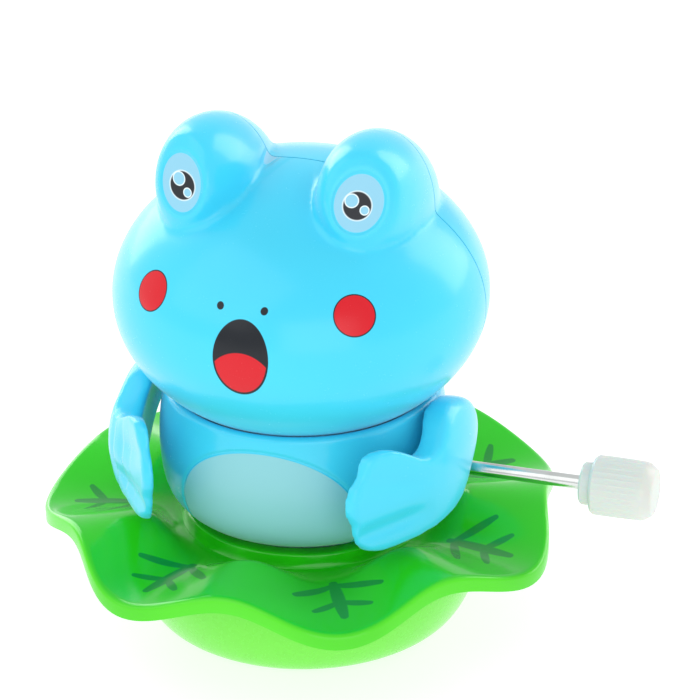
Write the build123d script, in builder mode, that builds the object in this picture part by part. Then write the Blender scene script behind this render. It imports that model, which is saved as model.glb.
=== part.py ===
"""Wind-up frog sitting on a lily pad over a round base bowl.

The frog faces -Y, its left side is +X and +Z is up. The origin is on the frog's axis, in the flat
underside of the base plate, and the wheels stand proud of that face. Sizes are in millimetres.
"""

from build123d import *
import os
from math import atan2, cos, hypot, pi, radians, sin, sqrt

# ---------------------------------------------------------------- driving dimensions
WALL = 1.5  # moulded wall thickness
RUN = 0.05  # radial clearance of a running fit
GAP = 0.3  # clearance between pieces that must not touch
PAST = 40  # an extrusion or a cut that reaches past the whole piece

HEAD_R = 31.84  # half width of the head
HEAD_H = 23.09  # half height of the head
HEAD_Z = 59.55  # height of the head's centre
HEAD_MOUTH_Z = 40.3  # the head is cut flat here
HEAD_MOUTH_R = 16.3  # and open inside this radius
HEAD_PART_Y = 1.9  # parting plane of the two head shells
EYE_AT = (13.9, -0.38, 77.44)  # centre of the left eye bulge
EYE_LONG = 20.3  # half length of an eye bulge, along its tilted axis
EYE_R = 10.4  # its half thickness
EYE_TILT = 28.7  # how far the bulge's front end is lifted, degrees

PAD_R = 43.54  # mean radius of the leaf's edge
PAD_LOBES = 7
PAD_LOBE = 1.7  # how far the edge moves in at a crest and out in a valley
PAD_Z = 19.4  # mean height of the leaf
PAD_WAVE = 2.08  # half height of the wave at the edge
PAD_HOLLOW_Z = 17.2  # height of the leaf beside the collar
PAD_RISE_R = 21.0  # the leaf starts to rise here
PAD_RISE_W = 9.0  # and reaches its full wave over this width
PAD_FLOOR_Z = 18.2  # top of the floor inside the collar
COLLAR_R = 20.8  # outer radius of the raised collar
COLLAR_BORE = 18.0
COLLAR_TOP = 19.8
COLLAR_BOTTOM = 15.0
PAD_FLOOR_T = 1.2  # floor inside the collar
SKIRT_R = 29.2  # ring under the leaf that drops into the bowl

BOWL_PROFILE = [(24.5, 0), (27.3, 1.8), (29.3, 5.4), (30.6, 9.6), (31.2, 14.3)]
BOWL_LEDGE_R = 21.7
BASE_R = 22.6
BASE_T = 1.6

BODY_FLOOR_T = 1.2
BODY_PROFILE = [(17.2, 19.8), (22.2, 22.6), (24.2, 26.6), (24.7, 32.0), (24.5, 37.0), (23.9, 41.4)]
BODY_DISH = [(23.1, 42.4), (21.8, 41.6), (20.0, 40.4), (17.5, 39.2), (15.5, 38.5)]
BODY_ROOF_T = 1.8  # wall under the dish
BODY_SCREW = (16.0, 24.5)  # x and z of the screws that close the body

ROD_Z = 29.82  # height of the winding shaft
ROD_R = 1.2
KNOB_X = 48.6  # inner end of the knob
KNOB_COLLAR_L = 2.0
KNOB_COLLAR_R = 3.6
KNOB_L = 10.9
KNOB_R = 5.05
KNOB_RIBS = 30

MODULE = 0.5  # gear module
TEETH = {"great": 40, "second_pinion": 10, "second": 36, "escape_pinion": 10, "drive": 16, "crank": 12}
GEAR_X = 6.4  # inner face of the great gear and the crank gear
GEAR_W = 2.0
SECOND_X = 3.0  # inner face of the second gear
SECOND_W = 1.6
ESCAPE_X = -1.5  # inner face of the escape wheel and the pallet anchor
ESCAPE_W = 1.5
ARBOR_R = 0.8
AXLE_R = 1.0
PLATE_X = 10.0  # inner face of each motor plate
PLATE_T = 1.2
SPRING_R = 9.6
SPRING_TURNS = 7
CAGE_X = -1.8  # inner end of the spring cage

AXLE_Z = 6.5
WHEEL_R = 7.4  # over the tyre
TYRE_T = 1.3
WHEEL_X = 12.6  # inner face of a drive wheel
WHEEL_W = 3.2
NOSE_AT = (0, -17.2, 2.6)
NOSE_R = 3.5
NOSE_W = 2.2
NOSE_AXLE_R = 0.6
STEER = 12  # the nose wheel's fixed steering angle, degrees

PIN_THROW = 2.8  # the crank pin's distance from its arbor
CRANK_X = PLATE_X + PLATE_T + 2 * GAP  # inner face of the crank disc
CRANK_T = 1.2
PIN_END = 13.4  # the pin stops just short of the fork
FORK_X = 13.7
FORK_T = 2.0
BRIDGE_Z = 46.4
BRIDGE_T = 1.5
POST_R = 2.5
POST_TOP = 52.4
CARRIER_Z = 48.8  # underside of the head carrier
CARRIER_T = 1.5
CARRIER_R = 25.4
HEAD_SCREW = (17.0, 60.0)  # x and z of the screws that close the head

SCREW_R = 0.95
SCREW_HEAD_R = 1.8
SCREW_HEAD_T = 1.1
SCREW_PLAY = 0.15  # a hole that a screw passes through is this much larger in radius
SCREW_HEAD_PLAY = 0.2
BASE_SCREWS = [(14.2, -13.2), (-14.2, -13.2), (6.5, 18.0), (-6.5, 18.0)]
COLLAR_SCREW_Y = 13.4


def pitch_r(name):
    return TEETH[name] * MODULE / 2


# ---------------------------------------------------------------- gear centres, as (y, z)
# Every arbor of the motor runs along X.
GREAT_AT = (0, ROD_Z)
CRANK_AT = (0, ROD_Z + pitch_r("great") + pitch_r("crank"))
SECOND_AT = (0, ROD_Z - pitch_r("great") - pitch_r("second_pinion"))
DRIVE_REACH = pitch_r("second") + pitch_r("drive")
AXLE_AT = (sqrt(DRIVE_REACH**2 - (SECOND_AT[1] - AXLE_Z) ** 2), AXLE_Z)
ESCAPE_DROP = 6.5  # the escape arbor lies this much below the second arbor
ESCAPE_REACH = pitch_r("second") + pitch_r("escape_pinion")
ESCAPE_AT = (-sqrt(ESCAPE_REACH**2 - ESCAPE_DROP**2), SECOND_AT[1] - ESCAPE_DROP)
STAR_R = 3.6
STAR_ROOT_R = 2.4
PALLET_DROP = 6.4  # the anchor's pivot lies this much below the escape arbor
PALLET_AT = (ESCAPE_AT[0], ESCAPE_AT[1] - PALLET_DROP)
WHEEL_AT = (AXLE_AT[0], AXLE_Z)


def side(x):
    """Plane across the motor at x: its local x is the row's Y, its local y is Z, and it faces +X."""
    return Plane(origin=(x, 0, 0), x_dir=(0, 1, 0), z_dir=(1, 0, 0))


def rear(y):
    """Plane across the frog at y: its local x is the row's X, its local y is Z, and it faces -Y."""
    return Plane(origin=(0, y, 0), x_dir=(1, 0, 0), z_dir=(0, -1, 0))


def inset(points, distance):
    """Profile points moved inwards, square to the line through their neighbours."""
    moved = []
    for i, (r, z) in enumerate(points):
        r0, z0 = points[max(i - 1, 0)]
        r1, z1 = points[min(i + 1, len(points) - 1)]
        run = hypot(r1 - r0, z1 - z0)
        moved.append((r - distance * (z1 - z0) / run, z + distance * (r1 - r0) / run))
    return moved


def disc(centre, radius, x0, x1, bore=0.0, mode=Mode.ADD):
    """A disc or ring along X, from x0 to x1, about a (y, z) centre."""
    with BuildSketch(side(x0)) as ring:
        with Locations(centre):
            Circle(radius)
            if bore:
                Circle(bore, mode=Mode.SUBTRACT)
    extrude(ring.sketch, amount=x1 - x0, mode=mode)


def post(centre, radius, z0, z1, mode=Mode.ADD):
    """An upright cylinder from z0 to z1 at an (x, y) centre."""
    with BuildSketch(Plane.XY.offset(z0)) as round_section:
        with Locations(centre):
            Circle(radius)
    extrude(round_section.sketch, amount=z1 - z0, mode=mode)


def across(centre, radius, y0, y1, mode=Mode.ADD):
    """A cylinder along Y, from y0 back to y1, at an (x, z) centre."""
    with BuildSketch(rear(y0)) as round_section:
        with Locations(centre):
            Circle(radius)
    extrude(round_section.sketch, amount=y0 - y1, mode=mode)


def finish(builder, label):
    """Names a finished piece and writes it."""
    builder.part.label = label
    export_step(builder.part, f"parts/{label}.step")
    print(label, len(builder.part.solids()), round(builder.part.volume, 1))


os.makedirs("parts", exist_ok=True)

# ---------------------------------------------------------------- head shells
RIBS = [(CARRIER_Z - 1.0, CARRIER_R + 1.1), (CARRIER_Z + CARRIER_T + 0.1, CARRIER_R + 3.1)]
RIB_T = 0.9
RIB_BORE = CARRIER_R - 1.4
POLE_CUT = 0.02  # each rounded end is cut flat by this much
HEAD_BOSS_R = 2.9
HEAD_SEAT_Y = 10  # where the screw heads sit
SCREW_BITE = 10  # how far a screw goes into the front shell


def head_form(shrink, mode=Mode.ADD):
    """A flattened ball with two long eye bulges, or the hollow inside it."""
    with BuildSketch(Plane.XZ) as half_oval:
        with Locations((0, HEAD_Z)):
            Ellipse(HEAD_R - shrink, HEAD_H - shrink)
        with Locations((HEAD_R / 2, HEAD_Z)):
            Rectangle(HEAD_R, 2 * (HEAD_H - shrink - POLE_CUT), mode=Mode.INTERSECT)
    revolve(half_oval.sketch, axis=Axis.Z, mode=mode)
    for hand in (-1, 1):
        bulge = Plane(
            origin=(hand * EYE_AT[0], EYE_AT[1], EYE_AT[2]),
            x_dir=(0, -cos(radians(EYE_TILT)), sin(radians(EYE_TILT))),
            z_dir=(1, 0, 0),
        )
        with BuildSketch(bulge) as half_bulge:
            Ellipse(EYE_LONG - shrink, EYE_R - shrink)
            with Locations((0, EYE_R / 2)):
                Rectangle(2 * (EYE_LONG - shrink - POLE_CUT), EYE_R, mode=Mode.INTERSECT)
        revolve(half_bulge.sketch, axis=Axis(bulge.origin, bulge.x_dir), mode=mode)


with BuildPart() as head_hollow:
    head_form(WALL)
    for rib_z, rib_r in RIBS:
        with BuildSketch(Plane.XY.offset(rib_z)) as rib:
            Circle(rib_r)
            Circle(RIB_BORE, mode=Mode.SUBTRACT)
        extrude(rib.sketch, amount=RIB_T, mode=Mode.SUBTRACT)
    for hand in (-1, 1):
        across((hand * HEAD_SCREW[0], HEAD_SCREW[1]), HEAD_BOSS_R, HEAD_R, -HEAD_R, mode=Mode.SUBTRACT)

with BuildPart() as head_whole:
    head_form(0)
    add(head_hollow.part, mode=Mode.SUBTRACT)
    post((0, 0), HEAD_R, HEAD_Z - HEAD_R, HEAD_MOUTH_Z, mode=Mode.SUBTRACT)
    post((0, 0), HEAD_MOUTH_R, HEAD_MOUTH_Z, HEAD_MOUTH_Z + 2 * WALL, mode=Mode.SUBTRACT)

for name, keep in (("head_front_shell", Keep.TOP), ("head_back_shell", Keep.BOTTOM)):
    with BuildPart() as head_half:
        add(head_whole.part)
        split(bisect_by=rear(HEAD_PART_Y), keep=keep)
        for hand in (-1, 1):
            at = (hand * HEAD_SCREW[0], HEAD_SCREW[1])
            if keep == Keep.TOP:
                across(at, SCREW_R, HEAD_PART_Y, HEAD_PART_Y - SCREW_BITE, mode=Mode.SUBTRACT)
            else:
                across(at, SCREW_R + SCREW_PLAY, HEAD_SEAT_Y, HEAD_PART_Y, mode=Mode.SUBTRACT)
                across(at, SCREW_HEAD_R + SCREW_HEAD_PLAY, HEAD_R, HEAD_SEAT_Y, mode=Mode.SUBTRACT)
    finish(head_half, name)

with BuildPart() as head_screws:
    for hand in (-1, 1):
        at = (hand * HEAD_SCREW[0], HEAD_SCREW[1])
        across(at, SCREW_R, HEAD_SEAT_Y, HEAD_PART_Y - SCREW_BITE)
        across(at, SCREW_HEAD_R, HEAD_SEAT_Y + SCREW_HEAD_T, HEAD_SEAT_Y)
finish(head_screws, "head_screws")

# ---------------------------------------------------------------- head carrier, bridge and neck screw
HUB_R = 4.4
HUB_BOTTOM = BRIDGE_Z + BRIDGE_T + GAP
HUB_TOP = POST_TOP - 0.4
FORK_LOW = 39.6
SLOT_HALF = 0.95
TINE_T = 1.65
NECK_SCREW_R = 1.2
WASHER_R = 3.8
WASHER_T = 0.6
CROSS_L = 2.6  # the driver's cross in the neck screw
CROSS_W = 0.5
CROSS_DEEP = 0.6

with BuildPart() as head_carrier:
    post((0, 0), CARRIER_R, CARRIER_Z, CARRIER_Z + CARRIER_T)
    post((0, 0), HUB_R, HUB_BOTTOM, HUB_TOP)
    post((0, 0), POST_R + RUN, HUB_BOTTOM, HUB_TOP, mode=Mode.SUBTRACT)
    with BuildSketch(side(FORK_X)) as tines:
        for hand in (-1, 1):
            with Locations((hand * (SLOT_HALF + TINE_T / 2), (FORK_LOW + CARRIER_Z) / 2)):
                Rectangle(TINE_T, CARRIER_Z - FORK_LOW)
    extrude(tines.sketch, amount=FORK_T)
finish(head_carrier, "head_carrier")

EAR_HALF = 4.0
TENON_HALF = 1.5
with BuildPart() as neck_bridge:
    with BuildSketch(Plane.XY.offset(BRIDGE_Z)) as strap:
        Rectangle(2 * (PLATE_X + PLATE_T), 2 * EAR_HALF)
        for hand in (-1, 1):
            with Locations((hand * (PLATE_X + PLATE_T / 2), 0)):
                Rectangle(PLATE_T, 2 * TENON_HALF, mode=Mode.SUBTRACT)
    extrude(strap.sketch, amount=BRIDGE_T)
    post((0, 0), POST_R, BRIDGE_Z + BRIDGE_T, POST_TOP)
    post((0, 0), NECK_SCREW_R, BRIDGE_Z + BRIDGE_T, POST_TOP, mode=Mode.SUBTRACT)
finish(neck_bridge, "neck_bridge")

with BuildPart() as neck_washer:
    post((0, 0), WASHER_R, POST_TOP, POST_TOP + WASHER_T)
    post((0, 0), NECK_SCREW_R, POST_TOP, POST_TOP + WASHER_T, mode=Mode.SUBTRACT)
finish(neck_washer, "neck_washer")

with BuildPart() as neck_screw:
    post((0, 0), NECK_SCREW_R, BRIDGE_Z + BRIDGE_T + GAP, POST_TOP + WASHER_T)
    post((0, 0), 2 * NECK_SCREW_R, POST_TOP + WASHER_T, POST_TOP + 3 * WASHER_T)
    with BuildSketch(Plane.XY.offset(POST_TOP + 3 * WASHER_T)) as cross:
        Rectangle(CROSS_L, CROSS_W)
        Rectangle(CROSS_W, CROSS_L)
    extrude(cross.sketch, amount=-CROSS_DEEP, mode=Mode.SUBTRACT)
finish(neck_screw, "neck_screw")

# ---------------------------------------------------------------- body shells
BODY_Z = PAD_FLOOR_Z
BODY_CORNER = 0.6  # the hollow's floor stops this far inside its wall
COLLAR_BOSS_R = 2.0
COLLAR_BOSS_TOP = BODY_Z + 7.5
COLLAR_HOLE_TOP = BODY_Z + 6.5
MOTOR_HOLE = (23.2, 21.8)
BODY_SEAT_Y = 9
BODY_BITE = 8
BODY_BOSS_R = 2.6
ROD_HOLE_R = 1.7
PEG_R = 2.2
PEG_AT = (1.0, 37.0)  # y and z of the arm's peg
PEG_X = (22, 27)  # from and to
PEG_HOLE_X = (21, 26)

with BuildPart() as body_hollow:
    with BuildSketch(Plane.XZ) as hollow:
        with BuildLine():
            floor_z = BODY_Z + BODY_FLOOR_T
            lower = inset(BODY_PROFILE, WALL)[:-1]
            upper = [(r, z - BODY_ROOF_T) for r, z in BODY_DISH[1:]]
            corner = (lower[0][0] - BODY_CORNER, floor_z)
            Polyline((0, floor_z), corner, *lower, *upper, (0, upper[-1][1]), close=True)
        make_face()
    revolve(axis=Axis.Z)
    for hand in (-1, 1):
        post((0, hand * COLLAR_SCREW_Y), COLLAR_BOSS_R, floor_z, COLLAR_BOSS_TOP, mode=Mode.SUBTRACT)
        at = (hand * BODY_SCREW[0], BODY_SCREW[1])
        across(at, BODY_BOSS_R, BODY_PROFILE[3][0], -BODY_PROFILE[3][0], mode=Mode.SUBTRACT)

with BuildPart() as body_whole:
    with BuildSketch(Plane.XZ) as bulb:
        with BuildLine():
            Polyline((0, BODY_Z), (BODY_PROFILE[0][0], BODY_Z), BODY_PROFILE[0])
            belly = Spline(*BODY_PROFILE)
            shoulder = Spline(belly @ 1, *BODY_DISH)
            Polyline(shoulder @ 1, (0, BODY_DISH[-1][1]), (0, BODY_Z))
        make_face()
    revolve(axis=Axis.Z)
    add(body_hollow.part, mode=Mode.SUBTRACT)
    post((0, 0), BODY_DISH[-1][0], BODY_DISH[-1][1] - 2 * WALL, BODY_DISH[-1][1] + WALL, mode=Mode.SUBTRACT)
    with BuildSketch(Plane.XY.offset(BODY_Z)) as motor_way:
        Rectangle(*MOTOR_HOLE)
    extrude(motor_way.sketch, amount=BODY_FLOOR_T, mode=Mode.SUBTRACT)
    for hand in (-1, 1):
        post((0, hand * COLLAR_SCREW_Y), SCREW_R, BODY_Z, COLLAR_HOLE_TOP, mode=Mode.SUBTRACT)
    disc(GREAT_AT, ROD_HOLE_R, PLATE_X + 2 * PLATE_T, PAST, mode=Mode.SUBTRACT)
    for x0, x1 in (PEG_HOLE_X, (-PEG_HOLE_X[1], -PEG_HOLE_X[0])):
        disc(PEG_AT, PEG_R, x0, x1, mode=Mode.SUBTRACT)

for name, keep in (("body_front_shell", Keep.TOP), ("body_back_shell", Keep.BOTTOM)):
    with BuildPart() as body_half:
        add(body_whole.part)
        split(bisect_by=rear(0), keep=keep)
        for hand in (-1, 1):
            at = (hand * BODY_SCREW[0], BODY_SCREW[1])
            if keep == Keep.TOP:
                across(at, SCREW_R, 0, -BODY_BITE, mode=Mode.SUBTRACT)
            else:
                across(at, SCREW_R + SCREW_PLAY, BODY_SEAT_Y, 0, mode=Mode.SUBTRACT)
                across(at, SCREW_HEAD_R + SCREW_HEAD_PLAY, PAST, BODY_SEAT_Y, mode=Mode.SUBTRACT)
    finish(body_half, name)

with BuildPart() as body_screws:
    for hand in (-1, 1):
        at = (hand * BODY_SCREW[0], BODY_SCREW[1])
        across(at, SCREW_R, BODY_SEAT_Y, -BODY_BITE)
        across(at, SCREW_HEAD_R, BODY_SEAT_Y + SCREW_HEAD_T, BODY_SEAT_Y)
finish(body_screws, "body_screws")

# ---------------------------------------------------------------- arms
ARM_BAND_Z = 24.2  # the plate is made this low
ARM_BAND_H = 24  # and this high, and its outline then cuts it
# An arm is a plate that wraps round the body: ARM_PLAN is the middle of the plate seen from
# above, with its half thickness, and ARM_OUTLINE is its edge seen from the side, as (y, z).
ARM_PLAN = [
    (17.0, -31.0, 0.9),
    (21.0, -24.0, 1.3),
    (24.9, -17.5, 1.8),
    (27.6, -10.5, 2.2),
    (28.5, -3.0, 2.3),
    (28.1, 3.0, 2.1),
    (26.7, 8.0, 1.5),
]
HAND_EDGE = [(-9.0, 43.8), (-13.2, 41.4), (-16.6, 39.7), (-20.4, 42.3), (-25.6, 43.8), (-27.4, 40.6)]
HAND_EDGE += [(-29.4, 37.4), (-29.3, 33.4), (-28.4, 29.0), (-26.2, 26.2), (-19.0, 25.2), (-12.0, 26.2)]
ELBOW_EDGE = [(-4.8, 28.4), (-2.5, 31.0), (2.0, 34.2), (5.0, 38.6), (3.6, 42.4), (-2.0, 43.8)]

for name, hand in (("left_arm", 1), ("right_arm", -1)):
    with BuildPart() as arm:
        with BuildSketch(Plane.XY.offset(ARM_BAND_Z)) as band:
            with BuildLine():
                outer = Spline(*[(hand * (x + t), y - t / 2) for x, y, t in ARM_PLAN])
                inner = Spline(*[(hand * (x - t), y + t / 2) for x, y, t in reversed(ARM_PLAN)])
                Line(outer @ 1, inner @ 0)
                Line(inner @ 1, outer @ 0)
            make_face()
        extrude(band.sketch, amount=ARM_BAND_H)
        with BuildSketch(side(0)) as outline:
            with BuildLine():
                Spline(*HAND_EDGE, *ELBOW_EDGE, periodic=True)
            make_face()
        extrude(outline.sketch, amount=hand * PAST, mode=Mode.INTERSECT)
        x0, x1 = sorted((hand * PEG_X[0], hand * PEG_X[1]))
        disc(PEG_AT, PEG_R - RUN, x0, x1)
    finish(arm, name)

# ---------------------------------------------------------------- lily pad
GRID = 36  # cells across the leaf's surface
SPAN = PAD_R + PAD_LOBE + 2  # the surface reaches past the leaf's edge
EDGE_POINTS = 12 * PAD_LOBES
SKIRT_BOTTOM = BOWL_PROFILE[-1][1] - 2.2
SKIRT_H = 9.5
SCREW_CLEAR = 0.5  # a collar screw stops this far short of its hole's end
BASE_BOSS_R = 2.2
BASE_HOLE_TOP = 10.6
BASE_SCREW_TOP = 9
BASE_SEAT_Z = 0.8
BASE_HEAD_Z = 0.1
PAD_FLOOR_UNDER = PAD_FLOOR_Z - PAD_FLOOR_T


def leaf_z(x, y):
    """Height of the leaf's upper surface: a ring of waves that rise out of the hollow round the collar."""
    radius = hypot(x, y)
    wave = cos(PAD_LOBES * atan2(x, -y))
    share = min(max((radius - PAD_RISE_R) / PAD_RISE_W, 0), 1)
    share = share * share * (3 - 2 * share)
    return PAD_HOLLOW_Z + (PAD_Z + PAD_WAVE * wave - PAD_HOLLOW_Z) * share


def leaf_edge(turn):
    """Point of the leaf's outline at a turn from its front crest, in radians."""
    radius = PAD_R - PAD_LOBE * cos(PAD_LOBES * turn)
    return (radius * sin(turn), -radius * cos(turn))


steps = [SPAN * (2 * i / GRID - 1) for i in range(GRID + 1)]
leaf_rows = [[Vector(x, y, leaf_z(x, y)) for x in steps] for y in steps]
leaf_top = Face.make_surface_from_array_of_points(leaf_rows)

with BuildPart() as leaf_blade:
    extrude(leaf_top, amount=WALL, dir=(0, 0, -1))

with BuildPart() as skirt:
    extrude(leaf_top, amount=SKIRT_H, dir=(0, 0, -1))
    with BuildSketch(Plane.XY.offset(SKIRT_BOTTOM)) as ring:
        Circle(SKIRT_R)
        Circle(SKIRT_R - WALL, mode=Mode.SUBTRACT)
    extrude(ring.sketch, amount=PAST, mode=Mode.INTERSECT)

with BuildPart() as lily_pad:
    add(leaf_blade.part)
    with BuildSketch(Plane.XY) as leaf_outline:
        with BuildLine():
            Spline(*[leaf_edge(2 * pi * i / EDGE_POINTS) for i in range(EDGE_POINTS)], periodic=True)
        make_face()
    extrude(leaf_outline.sketch, amount=PAST, mode=Mode.INTERSECT)
    add(skirt.part)
    post((0, 0), COLLAR_R, COLLAR_BOTTOM, COLLAR_TOP)
    post((0, 0), COLLAR_BORE, PAD_FLOOR_Z, PAST, mode=Mode.SUBTRACT)
    post((0, 0), COLLAR_BORE, COLLAR_BOTTOM, PAD_FLOOR_UNDER, mode=Mode.SUBTRACT)
    for x, y in BASE_SCREWS:
        post((x, y), BASE_BOSS_R, BASE_T, PAD_FLOOR_UNDER)
        post((x, y), SCREW_R, BASE_T, BASE_HOLE_TOP, mode=Mode.SUBTRACT)
    for hand in (-1, 1):
        at = (0, hand * COLLAR_SCREW_Y)
        post(at, SCREW_R + SCREW_PLAY, PAD_FLOOR_Z - WALL, PAD_FLOOR_Z, mode=Mode.SUBTRACT)
    with BuildSketch(Plane.XY.offset(PAD_FLOOR_Z - WALL)) as motor_way:
        Rectangle(*MOTOR_HOLE)
    extrude(motor_way.sketch, amount=2 * WALL, mode=Mode.SUBTRACT)
finish(lily_pad, "lily_pad")

with BuildPart() as collar_screws:
    for hand in (-1, 1):
        at = (0, hand * COLLAR_SCREW_Y)
        post(at, SCREW_R, PAD_FLOOR_UNDER, COLLAR_HOLE_TOP - SCREW_CLEAR)
        post(at, SCREW_HEAD_R, PAD_FLOOR_UNDER - SCREW_HEAD_T, PAD_FLOOR_UNDER)
finish(collar_screws, "collar_screws")

# ---------------------------------------------------------------- bowl and base plate
SLOT_HALF_L = 6.4
SLOT_SIDE = 0.5
NOSE_SLOT_L = 7.8
SADDLE_T = 2.0
SADDLE_L = 3.0
SADDLE_ABOVE = 1.4  # the saddles stand this far above the nose axle
BASE_PLAY = 0.1
LEDGE_T = 1.0

with BuildPart() as base_bowl:
    with BuildSketch(Plane.XZ) as bowl_section:
        with BuildLine():
            outside = Spline(*BOWL_PROFILE)
            inside = inset(BOWL_PROFILE, WALL)[1:]
            Polyline(outside @ 1, (inside[-1][0], BOWL_PROFILE[-1][1]))
            foot = (inside[0][0] - LEDGE_T, BASE_T + LEDGE_T)
            Spline((inside[-1][0], BOWL_PROFILE[-1][1]), *reversed(inside[:-1]), foot)
            Polyline(
                foot,
                (BOWL_LEDGE_R, BASE_T + LEDGE_T),
                (BOWL_LEDGE_R, BASE_T),
                (BASE_R + BASE_PLAY, BASE_T),
                (BASE_R + BASE_PLAY, 0),
                BOWL_PROFILE[0],
            )
        make_face()
    revolve(axis=Axis.Z)
finish(base_bowl, "base_bowl")

with BuildPart() as base_plate:
    post((0, 0), BASE_R, 0, BASE_T)
    with BuildSketch() as wheel_slots:
        for hand in (-1, 1):
            with Locations((hand * (WHEEL_X + WHEEL_W / 2), WHEEL_AT[0])):
                Rectangle(WHEEL_W + 2 * SLOT_SIDE, 2 * SLOT_HALF_L)
        with Locations(Location(NOSE_AT[:2], STEER)):
            Rectangle(NOSE_W + 2 * SLOT_SIDE, NOSE_SLOT_L)
    extrude(wheel_slots.sketch, amount=BASE_T, mode=Mode.SUBTRACT)
    steered = Plane(origin=NOSE_AT, x_dir=(cos(radians(STEER)), sin(radians(STEER)), 0), z_dir=(0, 0, 1))
    with BuildSketch(steered.offset(BASE_T - NOSE_AT[2])) as saddles:
        for hand in (-1, 1):
            with Locations((hand * (NOSE_W / 2 + SLOT_SIDE + SADDLE_T / 2), 0)):
                Rectangle(SADDLE_T, SADDLE_L)
    extrude(saddles.sketch, amount=NOSE_AT[2] - BASE_T + SADDLE_ABOVE)
    with BuildSketch(Plane(origin=NOSE_AT, x_dir=steered.y_dir, z_dir=steered.x_dir)) as nose_bore:
        Circle(NOSE_AXLE_R + RUN)
    extrude(nose_bore.sketch, amount=PAST, both=True, mode=Mode.SUBTRACT)
    for x, y in BASE_SCREWS:
        post((x, y), SCREW_R + SCREW_PLAY, 0, BASE_T, mode=Mode.SUBTRACT)
        post((x, y), SCREW_HEAD_R + SCREW_PLAY, 0, BASE_SEAT_Z, mode=Mode.SUBTRACT)
finish(base_plate, "base_plate")

with BuildPart() as base_screws:
    for x, y in BASE_SCREWS:
        post((x, y), SCREW_R, BASE_SEAT_Z, BASE_SCREW_TOP)
        post((x, y), SCREW_HEAD_R, BASE_HEAD_Z, BASE_SEAT_Z)
finish(base_screws, "base_screws")

# ---------------------------------------------------------------- nose wheel
TREAD_ROUND = 0.4
nose_side = Plane(origin=NOSE_AT, x_dir=steered.y_dir, z_dir=steered.x_dir)
with BuildPart() as nose_wheel:
    with BuildSketch(nose_side) as tread:
        Circle(NOSE_R)
        Circle(NOSE_AXLE_R, mode=Mode.SUBTRACT)
    extrude(tread.sketch, amount=NOSE_W / 2, both=True)
    fillet(nose_wheel.edges().filter_by(GeomType.CIRCLE).group_by(SortBy.RADIUS)[-1], TREAD_ROUND)
finish(nose_wheel, "nose_wheel")

with BuildPart() as nose_axle:
    with BuildSketch(nose_side):
        Circle(NOSE_AXLE_R)
    extrude(amount=NOSE_W / 2 + SLOT_SIDE + SADDLE_T, both=True)
finish(nose_axle, "nose_axle")

# ---------------------------------------------------------------- motor frame
PLATE_STEPS = [  # from and to in y, and the height where the step ends
    (-15.2, 12.5, 14.7),
    (-10.5, 10.5, 24.0),
    (-11.5, 11.5, 36.0),
    (-9.5, 9.5, 41.0),
    (-EAR_HALF, EAR_HALF, BRIDGE_Z),
    (-TENON_HALF, TENON_HALF, BRIDGE_Z + BRIDGE_T),
]
PILLARS = [(-13.9, 13.5), (11.0, 13.4), (-8.2, 39.4), (8.2, 39.4)]
PILLAR_R = 1.3
PILLAR_SCREW_R = 0.6
PILLAR_SCREW_END = 6  # how near the middle a pillar's screws reach
PILLAR_HEAD_R = 1.1
PILLAR_HEAD_T = 0.5
plate_holes = [
    (GREAT_AT, ROD_R),
    (CRANK_AT, ARBOR_R),
    (SECOND_AT, ARBOR_R),
    (ESCAPE_AT, ARBOR_R),
    (PALLET_AT, ARBOR_R),
    (AXLE_AT, AXLE_R),
]

for name, x0 in (("motor_left_plate", PLATE_X), ("motor_right_plate", -PLATE_X - PLATE_T)):
    with BuildPart() as motor_plate:
        with BuildSketch(side(x0)) as plate_face:
            z0 = BASE_T
            for y0, y1, z1 in PLATE_STEPS:
                with Locations(((y0 + y1) / 2, (z0 + z1) / 2)):
                    Rectangle(y1 - y0, z1 - z0)
                z0 = z1
            for centre, radius in plate_holes:
                with Locations(centre):
                    Circle(radius + RUN, mode=Mode.SUBTRACT)
            for centre in PILLARS:
                with Locations(centre):
                    Circle(PILLAR_SCREW_R, mode=Mode.SUBTRACT)
        extrude(plate_face.sketch, amount=PLATE_T)
    finish(motor_plate, name)

with BuildPart() as motor_pillars:
    for centre in PILLARS:
        disc(centre, PILLAR_R, -PLATE_X, PLATE_X, bore=PILLAR_SCREW_R)
finish(motor_pillars, "motor_pillars")

with BuildPart() as motor_screws:
    for centre in PILLARS:
        head_x = PLATE_X + PLATE_T
        disc(centre, PILLAR_SCREW_R, PILLAR_SCREW_END, head_x)
        disc(centre, PILLAR_SCREW_R, -head_x, -PILLAR_SCREW_END)
        disc(centre, PILLAR_HEAD_R, head_x, head_x + PILLAR_HEAD_T)
        disc(centre, PILLAR_HEAD_R, -head_x - PILLAR_HEAD_T, -head_x)
finish(motor_screws, "motor_screws")

# ---------------------------------------------------------------- gears
TIP, PITCH, ROOT = (0.42, 0.085), (0.0, 0.205), (-0.58, 0.29)  # offset in modules, half width in pitches


def gear(centre, teeth, first, x0, width, bore):
    """A toothed wheel with a tooth centred at the angle first, in radians from +Y towards +Z."""
    points = []
    for tooth in range(teeth):
        for (rise, share), way in zip((ROOT, PITCH, TIP, TIP, PITCH, ROOT), (-1, -1, -1, 1, 1, 1)):
            radius = MODULE * (teeth / 2 + rise)
            angle = first + 2 * pi * (tooth + way * share) / teeth
            points.append((centre[0] + radius * cos(angle), centre[1] + radius * sin(angle)))
    with BuildSketch(side(x0)) as blank:
        with BuildLine():
            Polyline(*points, close=True)
        make_face()
        with Locations(centre):
            Circle(bore, mode=Mode.SUBTRACT)
    extrude(blank.sketch, amount=width)


def meshed(driver_teeth, driver_first, teeth, towards):
    """First angle of a gear that a driver meets in the direction towards, in radians."""
    return towards + pi + (towards - driver_first) * driver_teeth / teeth + pi / teeth


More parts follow.
